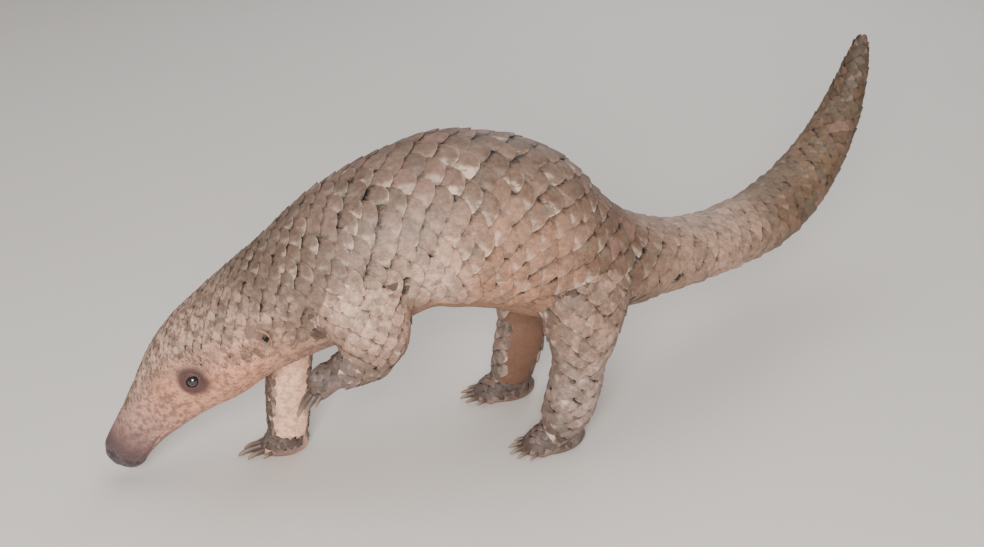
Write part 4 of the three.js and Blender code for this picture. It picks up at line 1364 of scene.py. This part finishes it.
def earFold(name, sign):
    # A crescent behind the cup: an arc of sections that are thin and tall, smaller at both ends.
    surface, outward = spot(ear, sign)
    along = body.read(body.along, ear["distance"])
    up = body.read(body.up, ear["distance"])
    share = np.linspace(-1, 1, foldLook["stations"])[:, None]
    turn = np.radians(foldLook["arc"] * share)
    at = surface + along * (ear["width"] + foldLook["gap"]) * np.cos(turn)
    at = at + up * (ear["height"] + foldLook["gap"]) * np.sin(turn)
    at = at + outward * (foldLook["rise"][0] + foldLook["rise"][1] * (1 - share ** 2))
    size = ear["fold"] * (1 - foldLook["taper"] * share ** 2)
    line = FleshLine(np.column_stack([at, size * np.array(foldLook["section"])]), outward)
    distance = np.linspace(0, line.length, foldLook["rows"])[:, None]
    ripple = foldLook["ripple"] * np.sin(distance * 2.2)
    points, faces = closedTube(line.point(distance, fullTurn(foldLook["columns"]), ripple))
    where, angle, _ = body.locate(points)
    tone = bodyMarking(where, angle, np.zeros(len(points))) * foldLook["shade"]
    item = makeMesh(name, place(points), faces, None, {"mottling": np.full(len(points), 0.5)},
                    {"marking": tone})
    settle(item, bareSkin, "skin", "ear_left" if sign > 0 else "ear_right")


for sideName, sign in (("left", 1), ("right", -1)):
    eyeBall(f"eyeball_{sideName}", sign)
    eyeLids(f"eyelids_{sideName}", sign)
    earFold(f"ear_fold_{sideName}", sign)
print("nose, eyes and ears made")

# Claws: a curved, tapering horn from each toe, keeled above and hollowed below.
clawLook = {"curl": {"front": 80, "hind": 55}, "clearance": 0.6, "stations": 9, "rows": 22,
            "columns": 14, "splay": 0.5, "droop": 0.35, "tip": 0.3, "flatness": 0.75, "keel": 0.14,
            "hollow": 0.3}


def claw(legName, index):
    # Its line is a part of a circle, reach = l sin(b s) / b and drop = l (1 - cos(b s)) / b, with
    # the drop made less, and its half size goes as (1 - s) to the power 0.6.
    foot = legs[legName]["foot"]
    kind = legName.split("_")[0]
    side, forward, toe, length, radius = digits[kind][index]
    footLength, footWidth, footHeight = foot["half"]
    turn = footTurn(foot)
    curl = math.radians(clawLook["curl"][kind])
    share = np.linspace(0, 1, clawLook["stations"])
    reach = (length + toe) * np.sin(curl * share) / curl
    drop = (length + toe) * (1 - np.cos(curl * share)) / curl
    local = np.stack([footLength * forward + toe * 0.7 + reach,
                      footWidth * side + reach * side * clawLook["splay"],
                      -footHeight * 0.35 + toe * 0.25 - drop * clawLook["droop"]], -1)
    at = local @ turn.T + np.array(foot["at"])
    size = radius * (1 - share) ** 0.6 + clawLook["tip"]
    stations = np.column_stack([at, size * clawLook["flatness"], size])
    line = FleshLine(stations, turn @ np.array([0, 0, 1.0]))
    along = np.linspace(0, 1, clawLook["rows"])[:, None]
    angle = fullTurn(clawLook["columns"])
    keel = clawLook["keel"] * np.cos(angle) ** 8 * (np.cos(angle) > 0)
    keel = radius * (keel - clawLook["hollow"] * bell(angle - math.pi, 0.5))
    grid = line.point(along * line.length, angle, keel * (1 - along))
    grid[..., 2] = np.maximum(grid[..., 2], clawLook["clearance"])
    points, faces = closedTube(grid)
    lengthwise = np.concatenate([np.repeat(along[:, 0], clawLook["columns"]), [0, 1]])
    around = np.concatenate([np.tile(angle[0] / (2 * math.pi), clawLook["rows"]), [0, 0]])
    item = makeMesh(f"claw_horn_{legName}_{index + 1}", place(points), faces,
                    {"Plate": np.column_stack([lengthwise, around])})
    settle(item, clawHorn, "claw", f"{legName}_claw_{index + 1}")


for legName in legs:
    for index in range(5):
        claw(legName, index)
print("claws made")

# Studio: a pale floor, a soft light by the camera, a broad one above and a weak one behind, each
# with its place, what it points at, size, power and colour.
studio = {"floorHalf": 40.0, "floorColour": (216, 211, 205), "floorSpread": (0.96, 1.02),
          "world": 0.44, "worldColour": (0.9, 0.9, 0.92, 1)}
lights = {
    "keyLight": ((-0.7, -1.4, 0.85), (-0.05, 0, 0.12), 0.5, 34, (1.0, 0.965, 0.93)),
    "skyLight": ((0.1, 0.1, 1.7), (0, 0, 0), 1.8, 15, (1.0, 0.99, 0.97)),
    "backLight": ((0.9, 1.3, 0.9), (0, 0, 0.1), 1.0, 6, (0.96, 0.98, 1.0)),
}
cameraLook = {"azimuth": -20, "elevation": 26, "distance": 1.0875, "target": (0, 0, 0.148),
              "focalPixels": 1375, "imageWidth": 984}


def makeFloor():
    half = studio["floorHalf"]
    x, y = np.meshgrid(np.linspace(-half, half, 9), np.linspace(-half, half, 9))
    points = np.stack([x, y, np.zeros_like(x)], -1).reshape(-1, 3)
    item = makeMesh("floor", points, [gridFaces(9, 9, wrap=False)])
    material, root, where = newMaterial("studioFloor", {"Roughness": 0.9, "Specular IOR Level": 0.2})
    darker, lighter = [rgba(studio["floorColour"], share) for share in studio["floorSpread"]]
    feed(root, {"Base Color": mixColour(noise(root, where, 3.0), darker, lighter)})
    item.data.materials.append(material)


def aimed(name, data, location, direction):
    item = linked(name, data)
    item.location = location
    item.rotation_mode = "QUATERNION"
    item.rotation_quaternion = direction.to_track_quat("-Z", "Y")
    return item


def softLight(name, location, target, size, power, colour):
    data = bpy.data.lights.new(name, "AREA")
    data.shape = "SQUARE"
    data.size = size
    data.energy = power
    data.color = colour
    aimed(name, data, location, Vector(target) - Vector(location))


def makeCamera():
    azimuth = math.radians(cameraLook["azimuth"])
    elevation = math.radians(cameraLook["elevation"])
    level = math.cos(elevation)
    back = Vector((math.sin(azimuth) * level, -math.cos(azimuth) * level, math.sin(elevation)))
    data = bpy.data.cameras.new("camera")
    data.sensor_width = 36
    data.lens = data.sensor_width * cameraLook["focalPixels"] / cameraLook["imageWidth"]
    location = Vector(cameraLook["target"]) + Vector(shift) + back * cameraLook["distance"]
    bpy.context.scene.camera = aimed("camera", data, location, -back)


makeFloor()
for name, values in lights.items():
    softLight(name, *values)
world = bpy.data.worlds.new("world")
world.use_nodes = True
background = world.node_tree.nodes["Background"]
background.inputs["Color"].default_value = studio["worldColour"]
background.inputs["Strength"].default_value = studio["world"]
bpy.context.scene.world = world
makeCamera()
print("studio made")
